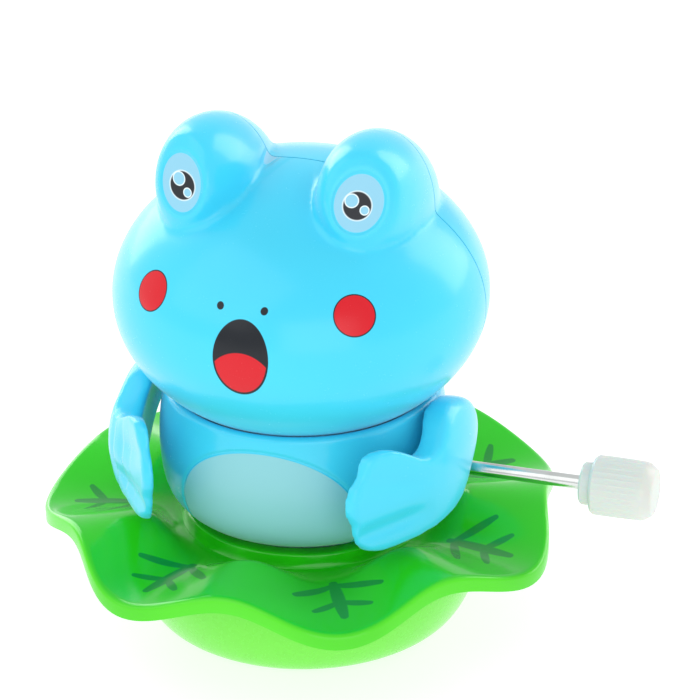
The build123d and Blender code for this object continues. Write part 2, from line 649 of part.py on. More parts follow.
def bearing(start, end):
    """Direction from one (y, z) centre to another, in radians."""
    return atan2(end[1] - start[1], end[0] - start[0])


great_first = bearing(GREAT_AT, SECOND_AT)
second_first = bearing(SECOND_AT, AXLE_AT)
first = {
    "great": great_first,
    "crank": meshed(TEETH["great"], great_first, TEETH["crank"], bearing(GREAT_AT, CRANK_AT)),
    "second_pinion": meshed(TEETH["great"], great_first, TEETH["second_pinion"], great_first),
    "second": second_first,
    "drive": meshed(TEETH["second"], second_first, TEETH["drive"], second_first),
    "escape_pinion": meshed(
        TEETH["second"], second_first, TEETH["escape_pinion"], bearing(SECOND_AT, ESCAPE_AT)
    ),
}
FACE_EXTRA = 0.4  # pinions are this much wider than their gears at each side
PINION_X = SECOND_X - FACE_EXTRA
PINION_W = SECOND_W + 2 * FACE_EXTRA
GEARS = {
    "great_gear": ("great", GREAT_AT, GEAR_X, GEAR_W, ROD_R),
    "crank_gear": ("crank", CRANK_AT, GEAR_X, GEAR_W, ARBOR_R),
    "second_pinion": ("second_pinion", SECOND_AT, GEAR_X - FACE_EXTRA, GEAR_W + 2 * FACE_EXTRA, ARBOR_R),
    "second_gear": ("second", SECOND_AT, SECOND_X, SECOND_W, ARBOR_R),
    "drive_gear": ("drive", AXLE_AT, PINION_X, PINION_W, AXLE_R),
    "escape_pinion": ("escape_pinion", ESCAPE_AT, PINION_X, PINION_W, ARBOR_R),
}
for name, (wheel, centre, x0, width, bore) in GEARS.items():
    with BuildPart() as toothed:
        gear(centre, TEETH[wheel], first[wheel], x0, width, bore)
    finish(toothed, name)

STAR_TEETH = 11
STAR_LAND = (0.45, 0.55)  # where a tooth's flat tip starts and ends, in pitches
with BuildPart() as escape_wheel:
    star_points = []
    for tooth in range(STAR_TEETH):
        for radius, share in ((STAR_ROOT_R, 0), (STAR_R, STAR_LAND[0]), (STAR_R, STAR_LAND[1])):
            angle = 2 * pi * (tooth + share) / STAR_TEETH
            star_points.append((ESCAPE_AT[0] + radius * cos(angle), ESCAPE_AT[1] + radius * sin(angle)))
    with BuildSketch(side(ESCAPE_X)) as star:
        with BuildLine():
            Polyline(*star_points, close=True)
        make_face()
        with Locations(ESCAPE_AT):
            Circle(ARBOR_R, mode=Mode.SUBTRACT)
    extrude(star.sketch, amount=ESCAPE_W)
finish(escape_wheel, "escape_wheel")

# ---------------------------------------------------------------- arbors
ARBOR_END = PLATE_X + PLATE_T
ARBOR_CHAMFER = 0.15
SHAFT_CHAMFER = 0.2
for name, centre, x0, x1 in (
    ("second_arbor", SECOND_AT, -ARBOR_END, ARBOR_END),
    ("escape_arbor", ESCAPE_AT, -ARBOR_END, ARBOR_END),
    ("pallet_arbor", PALLET_AT, -ARBOR_END, ARBOR_END),
    ("crank_arbor", CRANK_AT, -ARBOR_END, CRANK_X + CRANK_T),
):
    with BuildPart() as arbor:
        disc(centre, ARBOR_R, x0, x1)
        chamfer(arbor.edges().filter_by(GeomType.CIRCLE), ARBOR_CHAMFER)
    finish(arbor, name)

with BuildPart() as winding_shaft:
    disc(GREAT_AT, ROD_R, -ARBOR_END, KNOB_X + KNOB_L)
    chamfer(winding_shaft.edges().filter_by(GeomType.CIRCLE), SHAFT_CHAMFER)
finish(winding_shaft, "winding_shaft")

# ---------------------------------------------------------------- governor's pallet anchor
HORN = (3.1, 3.6)  # a pallet's inner tip, sideways and up from the anchor's pivot
HORN_END = (3.9, 2.2)  # its outer tip
HORN_ROOT = 1.2  # half its height at the pivot
ANCHOR_HUB_R = 1.7
with BuildPart() as pallet_anchor:
    with BuildSketch(side(ESCAPE_X)) as anchor:
        with Locations(PALLET_AT):
            Circle(ANCHOR_HUB_R)
            for hand in (-1, 1):
                tip = (hand * HORN[0], HORN[1])
                end = (hand * HORN_END[0], HORN_END[1])
                Polygon((0, -HORN_ROOT), (0, HORN_ROOT), tip, end, align=None)
            Circle(ARBOR_R, mode=Mode.SUBTRACT)
    extrude(anchor.sketch, amount=ESCAPE_W)
finish(pallet_anchor, "pallet_anchor")

# ---------------------------------------------------------------- mainspring in its cage
SPRING_T = 0.35
SPRING_X = 1.0 - PLATE_X  # outer side of the coil
SPRING_W = 5.6
SPRING_EYE = 1.9  # inner radius of the first turn
CAGE_R = 10.9
CAGE_T = 0.9
TURN_POINTS = 12


def spiral(offset):
    """Points along one face of the coiled spring."""
    count = SPRING_TURNS * TURN_POINTS
    reach = SPRING_R - SPRING_EYE - SPRING_T
    points = []
    for i in range(count + 1):
        radius = SPRING_EYE + offset + reach * i / count
        angle = 2 * pi * i / TURN_POINTS
        points.append((GREAT_AT[0] + radius * cos(angle), GREAT_AT[1] + radius * sin(angle)))
    return points


with BuildPart() as mainspring:
    with BuildSketch(side(SPRING_X)) as coil:
        with BuildLine():
            inner_face = Spline(*spiral(0))
            outer_face = Spline(*spiral(SPRING_T))
            Line(inner_face @ 0, outer_face @ 0)
            Line(inner_face @ 1, outer_face @ 1)
        make_face()
    extrude(coil.sketch, amount=SPRING_W)
finish(mainspring, "mainspring")

with BuildPart() as spring_cage:
    disc(GREAT_AT, CAGE_R, -PLATE_X, CAGE_X, bore=CAGE_R - CAGE_T)
    disc(GREAT_AT, CAGE_R, CAGE_X - CAGE_T, CAGE_X, bore=ROD_R + RUN)
finish(spring_cage, "spring_cage")

# ---------------------------------------------------------------- crank disc and pin
PIN_R = 0.8
CRANK_R = PIN_THROW + 1.1
PIN_AT = (CRANK_AT[0], CRANK_AT[1] - PIN_THROW)
with BuildPart() as crank_disc:
    disc(CRANK_AT, CRANK_R, CRANK_X, CRANK_X + CRANK_T, bore=ARBOR_R)
    disc(PIN_AT, PIN_R, CRANK_X + CRANK_T, PIN_END)
finish(crank_disc, "crank_disc")

# ---------------------------------------------------------------- drive axle, wheels and tyres
with BuildPart() as drive_axle:
    disc(AXLE_AT, AXLE_R, -WHEEL_X - WHEEL_W, WHEEL_X + WHEEL_W)
    chamfer(drive_axle.edges().filter_by(GeomType.CIRCLE), SHAFT_CHAMFER)
finish(drive_axle, "drive_axle")

RIM_R = WHEEL_R - TYRE_T
DISH_R = RIM_R - 1.2  # each wheel's outer side is dished inside this radius
DISH_HUB_R = 2.2
DISH_DEEP = 0.9
for hand, label in ((1, "left"), (-1, "right")):
    x0, x1 = sorted((hand * WHEEL_X, hand * (WHEEL_X + WHEEL_W)))
    dish_x0, dish_x1 = sorted((hand * (WHEEL_X + WHEEL_W - DISH_DEEP), hand * (WHEEL_X + WHEEL_W)))
    with BuildPart() as drive_wheel:
        disc(WHEEL_AT, RIM_R, x0, x1, bore=AXLE_R)
        disc(WHEEL_AT, DISH_R, dish_x0, dish_x1, DISH_HUB_R, Mode.SUBTRACT)
    finish(drive_wheel, f"{label}_drive_wheel")
    with BuildPart() as tyre:
        disc(WHEEL_AT, WHEEL_R, x0, x1, bore=RIM_R)
        fillet(tyre.edges().filter_by(GeomType.CIRCLE).group_by(SortBy.RADIUS)[-1], TREAD_ROUND)
    finish(tyre, f"{label}_tyre")

# ---------------------------------------------------------------- winding knob
KNOB_GROOVE_R = 0.16
KNOB_TAPER = 1.0  # degrees
KNOB_CHAMFER = 0.4
with BuildPart() as winding_knob:
    disc(GREAT_AT, KNOB_COLLAR_R, KNOB_X, KNOB_X + KNOB_COLLAR_L)
    with BuildSketch(side(KNOB_X + KNOB_COLLAR_L)) as grip:
        with Locations(GREAT_AT):
            Circle(KNOB_R)
            with PolarLocations(KNOB_R, KNOB_RIBS):
                Circle(KNOB_GROOVE_R, mode=Mode.SUBTRACT)
    extrude(grip.sketch, amount=KNOB_L, taper=KNOB_TAPER)
    chamfer(winding_knob.edges().group_by(Axis.X)[-1], KNOB_CHAMFER)
    disc(GREAT_AT, ROD_R, KNOB_X, KNOB_X + KNOB_L, mode=Mode.SUBTRACT)
finish(winding_knob, "winding_knob")
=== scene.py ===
# %% [markdown]
# # A wind-up frog on a lily pad
# The frame comes first: every screw, gear and wheel of the toy is loaded at its true size.
# This lesson gives the frame its finishes and models the moulded shells that show.
# The frog faces -Y, its left side is +X and +Z is up.

# %% Load the frame
import math

import bpy
from mathutils import Matrix, Vector


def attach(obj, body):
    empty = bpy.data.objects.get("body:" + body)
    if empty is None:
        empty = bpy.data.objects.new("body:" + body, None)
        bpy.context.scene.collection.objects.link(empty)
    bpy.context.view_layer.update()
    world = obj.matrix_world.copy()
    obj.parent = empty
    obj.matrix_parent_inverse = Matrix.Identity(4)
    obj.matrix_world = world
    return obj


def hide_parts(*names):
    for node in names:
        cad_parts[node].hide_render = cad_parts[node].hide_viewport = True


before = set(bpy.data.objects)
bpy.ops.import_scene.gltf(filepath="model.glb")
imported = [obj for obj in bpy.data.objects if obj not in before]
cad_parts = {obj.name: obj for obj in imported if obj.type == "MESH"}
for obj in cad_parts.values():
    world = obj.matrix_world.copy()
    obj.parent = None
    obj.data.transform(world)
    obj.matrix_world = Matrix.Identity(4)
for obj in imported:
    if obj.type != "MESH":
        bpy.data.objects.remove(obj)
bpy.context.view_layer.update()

MM = 0.001  # the scene is in metres and the toy is measured in millimetres
print("pieces in the frame:", len(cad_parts))

# %% [markdown]
# ## Helpers for working as by hand
# Operators act on whatever is selected, so each step starts with a clean selection.
# A new primitive gets its name and gives up its place, turn and scale to its mesh,
# because a finished piece keeps its object at the origin.


# %% Selection and naming
def pick(piece):
    for other in list(bpy.context.selected_objects):
        other.select_set(False)
    piece.select_set(True)
    bpy.context.view_layer.objects.active = piece


def settle(name):
    piece = bpy.context.object
    pick(piece)
    piece.name = name
    piece.data.name = name
    bpy.ops.object.transform_apply(location=True, rotation=True, scale=True)
    return piece


def pick_points(piece, test):
    """Edit mode, with just the points that pass the test selected."""
    pick(piece)
    bpy.ops.object.mode_set(mode="EDIT")
    bpy.ops.mesh.select_all(action="DESELECT")
    bpy.ops.object.mode_set(mode="OBJECT")
    for point in piece.data.vertices:
        point.select = test(point.co / MM)
    bpy.ops.object.mode_set(mode="EDIT")


def leave_edit():
    bpy.ops.object.mode_set(mode="OBJECT")


def finish_with(piece, kind, **settings):
    """Adds a modifier, sets it and applies it."""
    pick(piece)
    step = piece.modifiers.new(kind.title(), kind)
    for key, value in settings.items():
        setattr(step, key, value)
    bpy.ops.object.modifier_apply(modifier=step.name)


def copy_of(piece, name):
    twin = piece.copy()
    twin.data = piece.data.copy()
    twin.name = name
    twin.data.name = name
    bpy.context.scene.collection.objects.link(twin)
    return twin


def drop(*pieces):
    for piece in pieces:
        bpy.data.objects.remove(piece)


def outward(piece):
    pick(piece)
    bpy.ops.object.mode_set(mode="EDIT")
    bpy.ops.mesh.select_all(action="SELECT")
    bpy.ops.mesh.remove_doubles(threshold=0.0005 * MM)
    bpy.ops.mesh.normals_make_consistent(inside=False)
    leave_edit()


def smooth(piece, degrees=40):
    pick(piece)
    bpy.ops.object.shade_smooth_by_angle(angle=math.radians(degrees))


def cut(piece, point, normal, keep_below=True, fill=False):
    """Cuts a piece by a plane and keeps the side behind the plane's normal."""
    pick(piece)
    bpy.ops.object.mode_set(mode="EDIT")
    bpy.ops.mesh.select_all(action="SELECT")
    bpy.ops.mesh.bisect(
        plane_co=Vector(point) * MM,
        plane_no=normal,
        use_fill=fill,
        clear_outer=keep_below,
        clear_inner=not keep_below,
        threshold=0.0001 * MM,
    )
    leave_edit()


# %% [markdown]
# ## Turning a piece
# A moulded round part is easiest as a ring that is extruded from one height to the next and
# scaled to its new radius each time, the way a potter draws up a wall.


# %% Turned pieces
def turned(name, rings, segments=128):
    """A round skin through rings of (radius, height)."""
    radius, height = rings[0]
    bpy.ops.mesh.primitive_circle_add(
        vertices=segments, radius=radius * MM, location=(0, 0, height * MM)
    )
    piece = settle(name)
    bpy.ops.object.mode_set(mode="EDIT")
    bpy.ops.mesh.select_all(action="SELECT")
    for next_radius, next_height in rings[1:]:
        bpy.ops.mesh.extrude_region_move(
            TRANSFORM_OT_translate={"value": (0, 0, (next_height - height) * MM)}
        )
        share = next_radius / radius
        bpy.ops.transform.resize(value=(share, share, 1), center_override=(0, 0, 0))
        radius, height = next_radius, next_height
    leave_edit()
    return piece


def arc(centre, radii, start, end, steps):
    """Points of a quarter or half oval, for the rings of a turned piece."""
    turns = [math.radians(start + (end - start) * i / steps) for i in range(steps + 1)]
    return [(centre[0] + radii[0] * math.cos(t), centre[1] + radii[1] * math.sin(t)) for t in turns]


# %% [markdown]
# ## The camera
# A long lens from a little above and to the frog's left, which keeps the head and the base in
# nearly the same scale. The camera is turned by its own right, up and back axes.

# %% Camera
TURN, LIFT, ROLL = math.radians(18.45), math.radians(25.55), math.radians(-1.04)
back = Vector((math.sin(TURN) * math.cos(LIFT), -math.cos(TURN) * math.cos(LIFT), math.sin(LIFT)))
level = Vector((math.cos(TURN), math.sin(TURN), 0))
rise = back.cross(level)
right = level * math.cos(ROLL) + rise * math.sin(ROLL)
up = rise * math.cos(ROLL) - level * math.sin(ROLL)
eye_point = Vector((0, 0, 57 * MM)) + back * 656 * MM
camera = bpy.data.objects.new("camera", bpy.data.cameras.new("camera"))
bpy.context.scene.collection.objects.link(camera)
camera.matrix_world = Matrix.Translation(eye_point) @ Matrix((right, up, back)).transposed().to_4x4()
camera.data.lens = 200
camera.data.sensor_width = 36
camera.data.shift_x = 0.0694
camera.data.shift_y = -0.0687
camera.data.clip_start = 0.01
camera.data.clip_end = 20
bpy.context.scene.camera = camera
print("camera at", [round(v, 3) for v in eye_point])

# %% [markdown]
# ## Light and floor
# A white floor, a white room and large soft lamps: one high on the frog's right, a weaker one
# on its left, and two behind that brighten the outline of the glossy plastic.

# %% Light and floor
bpy.context.scene.view_settings.view_transform = "Standard"
room = bpy.data.worlds.new("white room")
bpy.context.scene.world = room
room.use_nodes = True
room.node_tree.nodes["Background"].inputs["Color"].default_value = (0.97, 0.985, 1, 1)
room.node_tree.nodes["Background"].inputs["Strength"].default_value = 0.78


def lamp(name, place, size, power, colour=(1, 1, 1)):
    data = bpy.data.lights.new(name, "AREA")
    data.shape = "RECTANGLE"
    data.size, data.size_y = size
    data.energy = power
    data.color = colour
    body = bpy.data.objects.new(name, data)
    bpy.context.scene.collection.objects.link(body)
    body.location = place
    aim = Vector((0, 0, 0.05)) - Vector(place)
    body.rotation_euler = aim.to_track_quat("-Z", "Y").to_euler()


lamp("key", (-0.8, -0.9, 1.2), (1.8, 1.8), 7.0)
lamp("fill", (0.7, -1.3, 0.4), (1.2, 0.9), 4.2)
lamp("left rim", (-0.9, 0.7, 0.5), (0.7, 1.0), 6.0)
lamp("right rim", (0.85, 0.9, 0.55), (0.7, 1.0), 6.0)

bpy.ops.mesh.primitive_plane_add(size=6, location=(0, 0, -0.9 * MM))
floor = settle("floor")
paper = bpy.data.materials.new("white paper")
paper.use_nodes = True
sheet = paper.node_tree.nodes["Principled BSDF"]
sheet.inputs["Base Color"].default_value = (0.4, 0.4, 0.4, 1)
sheet.inputs["Roughness"].default_value = 0.9
sheet.inputs["Emission Color"].default_value = (1, 1, 1, 1)
sheet.inputs["Emission Strength"].default_value = 0.75
floor.data.materials.append(paper)

# %% [markdown]
# ## Finishes
# A finish is a tree of nodes round one shader. Three effects come back in several finishes, so
# each is a node group: the fine unevenness of moulded plastic, an oval print, and a brush
# stroke for the veins. A group gives out colours, masks and heights; the shader stays outside.


# %% Node helpers
def put(tree, kind, **settings):
    step = tree.nodes.new("ShaderNode" + kind)
    for key, value in settings.items():
        setattr(step, key, value)
    return step


def wire(tree, source, target):
    tree.links.new(source, target)


def feed(tree, step, slot, value):
    """A socket takes either a link or a plain value."""
    if isinstance(value, bpy.types.NodeSocket):
        tree.links.new(value, step.inputs[slot])
    else:
        step.inputs[slot].default_value = value


def maths(tree, operation, first, second=0.0, third=0.0):
    step = put(tree, "Math", operation=operation)
    for slot, value in enumerate((first, second, third)):
        feed(tree, step, slot, value)
    return step.outputs[0]


def vectors(tree, operation, first, second):
    step = put(tree, "VectorMath", operation=operation)
    feed(tree, step, 0, first)
    feed(tree, step, 1, second)
    return step.outputs["Value"] if operation == "DOT_PRODUCT" else step.outputs["Vector"]


def ramp(tree, value, low, high, out_low=0.0, out_high=1.0):
    """Turns low..high into out_low..out_high, eased at both ends."""
    step = put(tree, "MapRange", interpolation_type="SMOOTHSTEP")
    for slot, entry in enumerate((value, low, high, out_low, out_high)):
        feed(tree, step, slot, entry)
    return step.outputs[0]


def blend(tree, mask, first, second):
    step = put(tree, "Mix", data_type="RGBA")
    feed(tree, step, 0, mask)
    feed(tree, step, 6, first)
    feed(tree, step, 7, second)
    return step.outputs[2]


def object_point(tree):
    return put(tree, "TexCoord").outputs["Object"]


def place_in_mm(tree):
    """The object point in millimetres, whole and split into its three numbers."""
    point = put(tree, "VectorMath", operation="SCALE")
    feed(tree, point, 0, object_point(tree))
    feed(tree, point, "Scale", 1 / MM)
    parts = put(tree, "SeparateXYZ")
    wire(tree, point.outputs["Vector"], parts.inputs[0])
    return point.outputs["Vector"], parts.outputs


def group(name, inputs, outputs):
    tree = bpy.data.node_groups.new(name, "ShaderNodeTree")
    for label, kind, value in inputs:
        socket = tree.interface.new_socket(name=label, in_out="INPUT", socket_type="NodeSocket" + kind)
        socket.default_value = value
    for label, kind in outputs:
        tree.interface.new_socket(name=label, in_out="OUTPUT", socket_type="NodeSocket" + kind)
    return tree, tree.nodes.new("NodeGroupInput").outputs, tree.nodes.new("NodeGroupOutput").inputs


def use(tree, effect, **values):
    step = put(tree, "Group", node_tree=effect)
    for key, value in values.items():
        feed(tree, step, key.replace("_", " "), value)
    return step.outputs


# %% Moulded plastic group
# Slow shading of the colour, a faint ripple left by the mould, and small handling marks.
moulded, given, result = group(
    "moulded plastic",
    [
        ("Colour", "Color", (0.5, 0.5, 0.5, 1)),
        ("Shade", "Float", 0.06),
        ("Gloss", "Float", 0.2),
        ("Marks", "Float", 0.5),
    ],
    [("Colour", "Color"), ("Roughness", "Float"), ("Height", "Float")],
)
place = object_point(moulded)
slow = put(moulded, "TexNoise")
feed(moulded, slow, "Vector", place)
feed(moulded, slow, "Scale", 45.0)
feed(moulded, slow, "Detail", 2.0)
ripple = put(moulded, "TexNoise")
feed(moulded, ripple, "Vector", place)
feed(moulded, ripple, "Scale", 420.0)
feed(moulded, ripple, "Detail", 3.0)
marks = put(moulded, "TexNoise")
feed(moulded, marks, "Vector", place)
feed(moulded, marks, "Scale", 2600.0)
feed(moulded, marks, "Detail", 1.0)
dark = vectors(moulded, "MULTIPLY", given["Colour"], (0.8, 0.9, 0.94))
shade = maths(moulded, "MULTIPLY", ramp(moulded, slow.outputs["Fac"], 0.35, 0.7), given["Shade"])
wire(moulded, blend(moulded, maths(moulded, "MULTIPLY", shade, 5.0), given["Colour"], dark), result["Colour"])
speck = maths(moulded, "MULTIPLY", ramp(moulded, marks.outputs["Fac"], 0.62, 0.72), given["Marks"])
rough = maths(moulded, "MULTIPLY_ADD", ripple.outputs["Fac"], 0.06, given["Gloss"])
wire(moulded, maths(moulded, "MULTIPLY_ADD", speck, 0.04, rough), result["Roughness"])
wire(moulded, maths(moulded, "MULTIPLY_ADD", speck, -0.004, ripple.outputs["Fac"]), result["Height"])

# %% Oval print group
# The distance from the print's centre, in half widths: 1 on its edge.
oval, given, result = group(
    "oval print",
    [
        ("Point", "Vector", (0, 0, 0)),
        ("Centre", "Vector", (0, 0, 0)),
        ("Across", "Vector", (1, 0, 0)),
        ("Along", "Vector", (0, 0, 1)),
        ("Half across", "Float", 1.0),
        ("Half along", "Float", 1.0),
        ("Edge", "Float", 0.02),
    ],
    [("Distance", "Float"), ("Mask", "Float")],
)
offset = vectors(oval, "SUBTRACT", given["Point"], given["Centre"])
wide = maths(oval, "DIVIDE", vectors(oval, "DOT_PRODUCT", offset, given["Across"]), given["Half across"])
tall = maths(oval, "DIVIDE", vectors(oval, "DOT_PRODUCT", offset, given["Along"]), given["Half along"])
squares = maths(oval, "ADD", maths(oval, "POWER", wide, 2.0), maths(oval, "POWER", tall, 2.0))
away = maths(oval, "SQRT", squares)
wire(oval, away, result["Distance"])
inner = maths(oval, "SUBTRACT", 1.0, given["Edge"])
outer = maths(oval, "ADD", 1.0, given["Edge"])
wire(oval, ramp(oval, away, inner, outer, 1.0, 0.0), result["Mask"])

# %% Brush stroke group
# A stroke from A to B, a little fuller in the middle and round at both ends, in a flat drawing.
stroke, given, result = group(
    "brush stroke",
    [
        ("Point", "Vector", (0, 0, 0)),
        ("A", "Vector", (0, 0, 0)),
        ("B", "Vector", (0, 1, 0)),
        ("Half width", "Float", 1.0),
    ],
    [("Mask", "Float")],
)
run = vectors(stroke, "SUBTRACT", given["B"], given["A"])
offset = vectors(stroke, "SUBTRACT", given["Point"], given["A"])
run_squared = vectors(stroke, "DOT_PRODUCT", run, run)
share = maths(stroke, "DIVIDE", vectors(stroke, "DOT_PRODUCT", offset, run), run_squared)
share = maths(stroke, "MINIMUM", maths(stroke, "MAXIMUM", share, 0.0), 1.0)
nearest = put(stroke, "VectorMath", operation="SCALE")
feed(stroke, nearest, 0, run)
feed(stroke, nearest, "Scale", share)
miss = put(stroke, "VectorMath", operation="LENGTH")
feed(stroke, miss, 0, vectors(stroke, "SUBTRACT", offset, nearest.outputs["Vector"]))
belly = maths(stroke, "MULTIPLY", share, maths(stroke, "SUBTRACT", 1.0, share))
belly = maths(stroke, "MULTIPLY", belly, 1.5)
width = maths(stroke, "MULTIPLY", maths(stroke, "ADD", belly, 0.62), given["Half width"])
reach = maths(stroke, "DIVIDE", miss.outputs["Value"], width)
wire(stroke, ramp(stroke, reach, 0.85, 1.1, 1.0, 0.0), result["Mask"])


# %% A finish round one shader
def finish_tree(name, **constants):
    """A new finish: its tree and its shader, with what is the same all over set on the shader."""
    finish = bpy.data.materials.new(name)
    finish.use_nodes = True
    tree = finish.node_tree
    tree.nodes.clear()
    shader = put(tree, "BsdfPrincipled")
    wire(tree, shader.outputs[0], put(tree, "OutputMaterial").inputs[0])
    for slot, value in constants.items():
        shader.inputs[slot.replace("_", " ")].default_value = value
    return finish, tree, shader


def roll_out(tree, shader, colour, roughness, height, depth=0.008):
    """Joins colour, roughness and bump height to the shader. Depth is in millimetres."""
    feed(tree, shader, "Base Color", colour)
    feed(tree, shader, "Roughness", roughness)
    bump = put(tree, "Bump")
    feed(tree, bump, "Distance", depth * MM)
    feed(tree, bump, "Height", height)
    wire(tree, bump.outputs[0], shader.inputs["Normal"])
    return bump


def plain_plastic(name, colour, gloss=0.2, shade=0.06, marks=0.5, depth=0.008, **constants):
    finish, tree, shader = finish_tree(name, **constants)
    skin = use(tree, moulded, Colour=(*colour, 1), Gloss=gloss, Shade=shade, Marks=marks)
    roll_out(tree, shader, skin["Colour"], skin["Roughness"], skin["Height"], depth)
    return finish


FROG_BLUE = (0.055, 0.66, 0.9)
GLOSS = {
    "Specular_IOR_Level": 0.38,
    "Coat_Weight": 0.15,
    "Coat_Roughness": 0.12,
    "Sheen_Weight": 0.2,
    "Sheen_Roughness": 0.35,
}
FROG_SKIN = {"Colour": (*FROG_BLUE, 1), "Gloss": 0.22, "Shade": 0.06, "Marks": 0.5}
frog_blue = plain_plastic("sky blue plastic", FROG_BLUE, gloss=0.22, **GLOSS)
print("plain finish:", frog_blue.name)

# %% [markdown]
# ## The printed face
# The eyes, cheeks, nostrils and mouth are printed on the front shell. Each is an oval seen
# along its own direction, so one mask serves both sides when X is made positive. The
# highlights sit on the same side of both pupils, so they are drawn for each eye.

# %% Face finish
front_blue, tree, shader = finish_tree("printed face plastic", **GLOSS)
skin = use(tree, moulded, **FROG_SKIN)
point, parts = place_in_mm(tree)
mirror = put(tree, "CombineXYZ")
FACE_SHIFT = 0.45  # the print sits this much towards the frog's right
feed(tree, mirror, 0, maths(tree, "ABSOLUTE", maths(tree, "ADD", parts[0], FACE_SHIFT)))
feed(tree, mirror, 1, parts[1])
feed(tree, mirror, 2, parts[2])
both_sides = mirror.outputs[0]

PRINT_BLACK = (0.006, 0.009, 0.014, 1)
PRINT_RED = (0.68, 0.004, 0.014, 1)
PRINT_EYE = (0.27, 0.61, 0.79, 1)
PRINT_WHITE = (0.8, 0.92, 0.96, 1)
face = skin["Colour"]

cheek_facing = Vector((0.492, -0.723, 0.485))
cheek_across = Vector((0.827, 0.563, 0.0))
cheek_along = cheek_facing.cross(cheek_across)
cheek = use(
    tree, oval, Point=both_sides, Centre=(17.44, -24.05, 67.84), Across=cheek_across, Along=cheek_along,
    Half_across=3.6, Half_along=3.5, Edge=0.015,
)
face = blend(tree, cheek["Mask"], face, PRINT_BLACK)
face = blend(tree, ramp(tree, cheek["Distance"], 0.93, 0.955, 1.0, 0.0), face, PRINT_RED)

nostril = use(
    tree, oval, Point=both_sides, Centre=(3.75, -28.8, 69.02), Half_across=0.62, Half_along=0.58, Edge=0.1
)
face = blend(tree, nostril["Mask"], face, PRINT_BLACK)

mouth = use(
    tree, oval, Point=point, Centre=(-0.1, -31, 61.15), Half_across=4.75, Half_along=6.45, Edge=0.012
)
face = blend(tree, mouth["Mask"], face, PRINT_BLACK)
tongue = use(
    tree, oval, Point=point, Centre=(-0.1, -31, 55.6), Half_across=6.1, Half_along=6.7, Edge=0.012
)
inside = ramp(tree, mouth["Distance"], 0.92, 0.945, 1.0, 0.0)
face = blend(tree, maths(tree, "MULTIPLY", inside, tongue["Mask"]), face, PRINT_RED)
printed = maths(tree, "MAXIMUM", mouth["Mask"], maths(tree, "MAXIMUM", cheek["Mask"], nostril["Mask"]))

# %% Eye prints
EYE_AT = (15.18, -15.28, 83.66)
EYE_TURN, EYE_LIFT, EYE_LEAN = math.radians(26.7), math.radians(15.2), math.radians(18)
EYE_HALF = {1: (4.05, 4.82), -1: (4.35, 4.86)}  # across and along each eye white
PUPIL_WIDE = {1: 1.0, -1: 1.2}


def eye_axes(hand):
    """Centre, facing, towards the frog's left, and the eye's long axis."""
    level = math.cos(EYE_LIFT)
    facing = Vector((hand * math.sin(EYE_TURN) * level, -math.cos(EYE_TURN) * level, math.sin(EYE_LIFT)))
    out = Vector((hand * math.cos(EYE_TURN), math.sin(EYE_TURN), 0))
    rise = facing.cross(out) * hand
    across = out * math.cos(EYE_LEAN) - rise * math.sin(EYE_LEAN)
    along = out * math.sin(EYE_LEAN) + rise * math.cos(EYE_LEAN)
    return Vector((hand * EYE_AT[0], EYE_AT[1], EYE_AT[2])), facing, hand * out, rise, across, along


white_distance = None
for hand in (1, -1):
    centre, facing, left, rise, across, along = eye_axes(hand)
    white = use(
        tree, oval, Point=point, Centre=centre, Across=across, Along=along,
        Half_across=EYE_HALF[hand][0], Half_along=EYE_HALF[hand][1], Edge=0.02,
    )
    face = blend(tree, white["Mask"], face, PRINT_EYE)
    if white_distance is None:
        white_distance = white["Distance"]
    else:
        white_distance = maths(tree, "MINIMUM", white_distance, white["Distance"])
    pupil_at = centre - left * (0.3 * hand) - rise * 0.4
    wide = left * PUPIL_WIDE[hand]
    spots = (
        (pupil_at, 2.5, PRINT_WHITE),
        (pupil_at, 2.33, PRINT_BLACK),
        (pupil_at - wide * 0.85 + rise * 0.9, 1.2, PRINT_WHITE),
        (pupil_at - wide * 0.85 + rise * 0.9, 1.02, PRINT_EYE),
        (pupil_at + wide * 1.15 - rise * 0.85, 0.82, PRINT_WHITE),
        (pupil_at + wide * 1.15 - rise * 0.85, 0.64, PRINT_EYE),
    )
    for at, radius, colour in spots:
        spot = use(
            tree, oval, Point=point, Centre=at, Across=left, Along=rise,
            Half_across=radius * PUPIL_WIDE[hand], Half_along=radius, Edge=0.05,
        )
        face = blend(tree, spot["Mask"], face, colour)

bead_in = ramp(tree, white_distance, 1.0, 1.14)
bead = maths(tree, "MULTIPLY", bead_in, ramp(tree, white_distance, 1.2, 1.5, 1.0, 0.0))
height = maths(tree, "MULTIPLY_ADD", bead, 18.0, skin["Height"])
eye_white = ramp(tree, white_distance, 0.98, 1.02, 1.0, 0.0)
rough = maths(tree, "MULTIPLY_ADD", eye_white, 0.12, skin["Roughness"])
roll_out(tree, shader, face, rough, height, depth=0.01)
printed = maths(tree, "MAXIMUM", printed, eye_white)
feed(tree, shader, "Coat Weight", maths(tree, "MULTIPLY_ADD", printed, -0.13, 0.15))
print("face finish has", len(tree.nodes), "nodes")

# %% [markdown]
# ## The head
# The real head is two moulded shells that meet in an upright joint behind the eyes. The form is
# a flattened ball with two long eye bulges. Three balls are joined, rebuilt as one even skin so
# that the creases can be softened, and then cut into the front and the back shell.

# %% Ball and eye bulges
HEAD_AT, HEAD_HALF = (0, 0, 59.55), (31.84, 31.84, 23.09)
BULGE_AT, BULGE_HALF, BULGE_TILT = (13.9, -0.38, 77.44), (9.11, 20.76, 12.06), math.radians(-28.7)

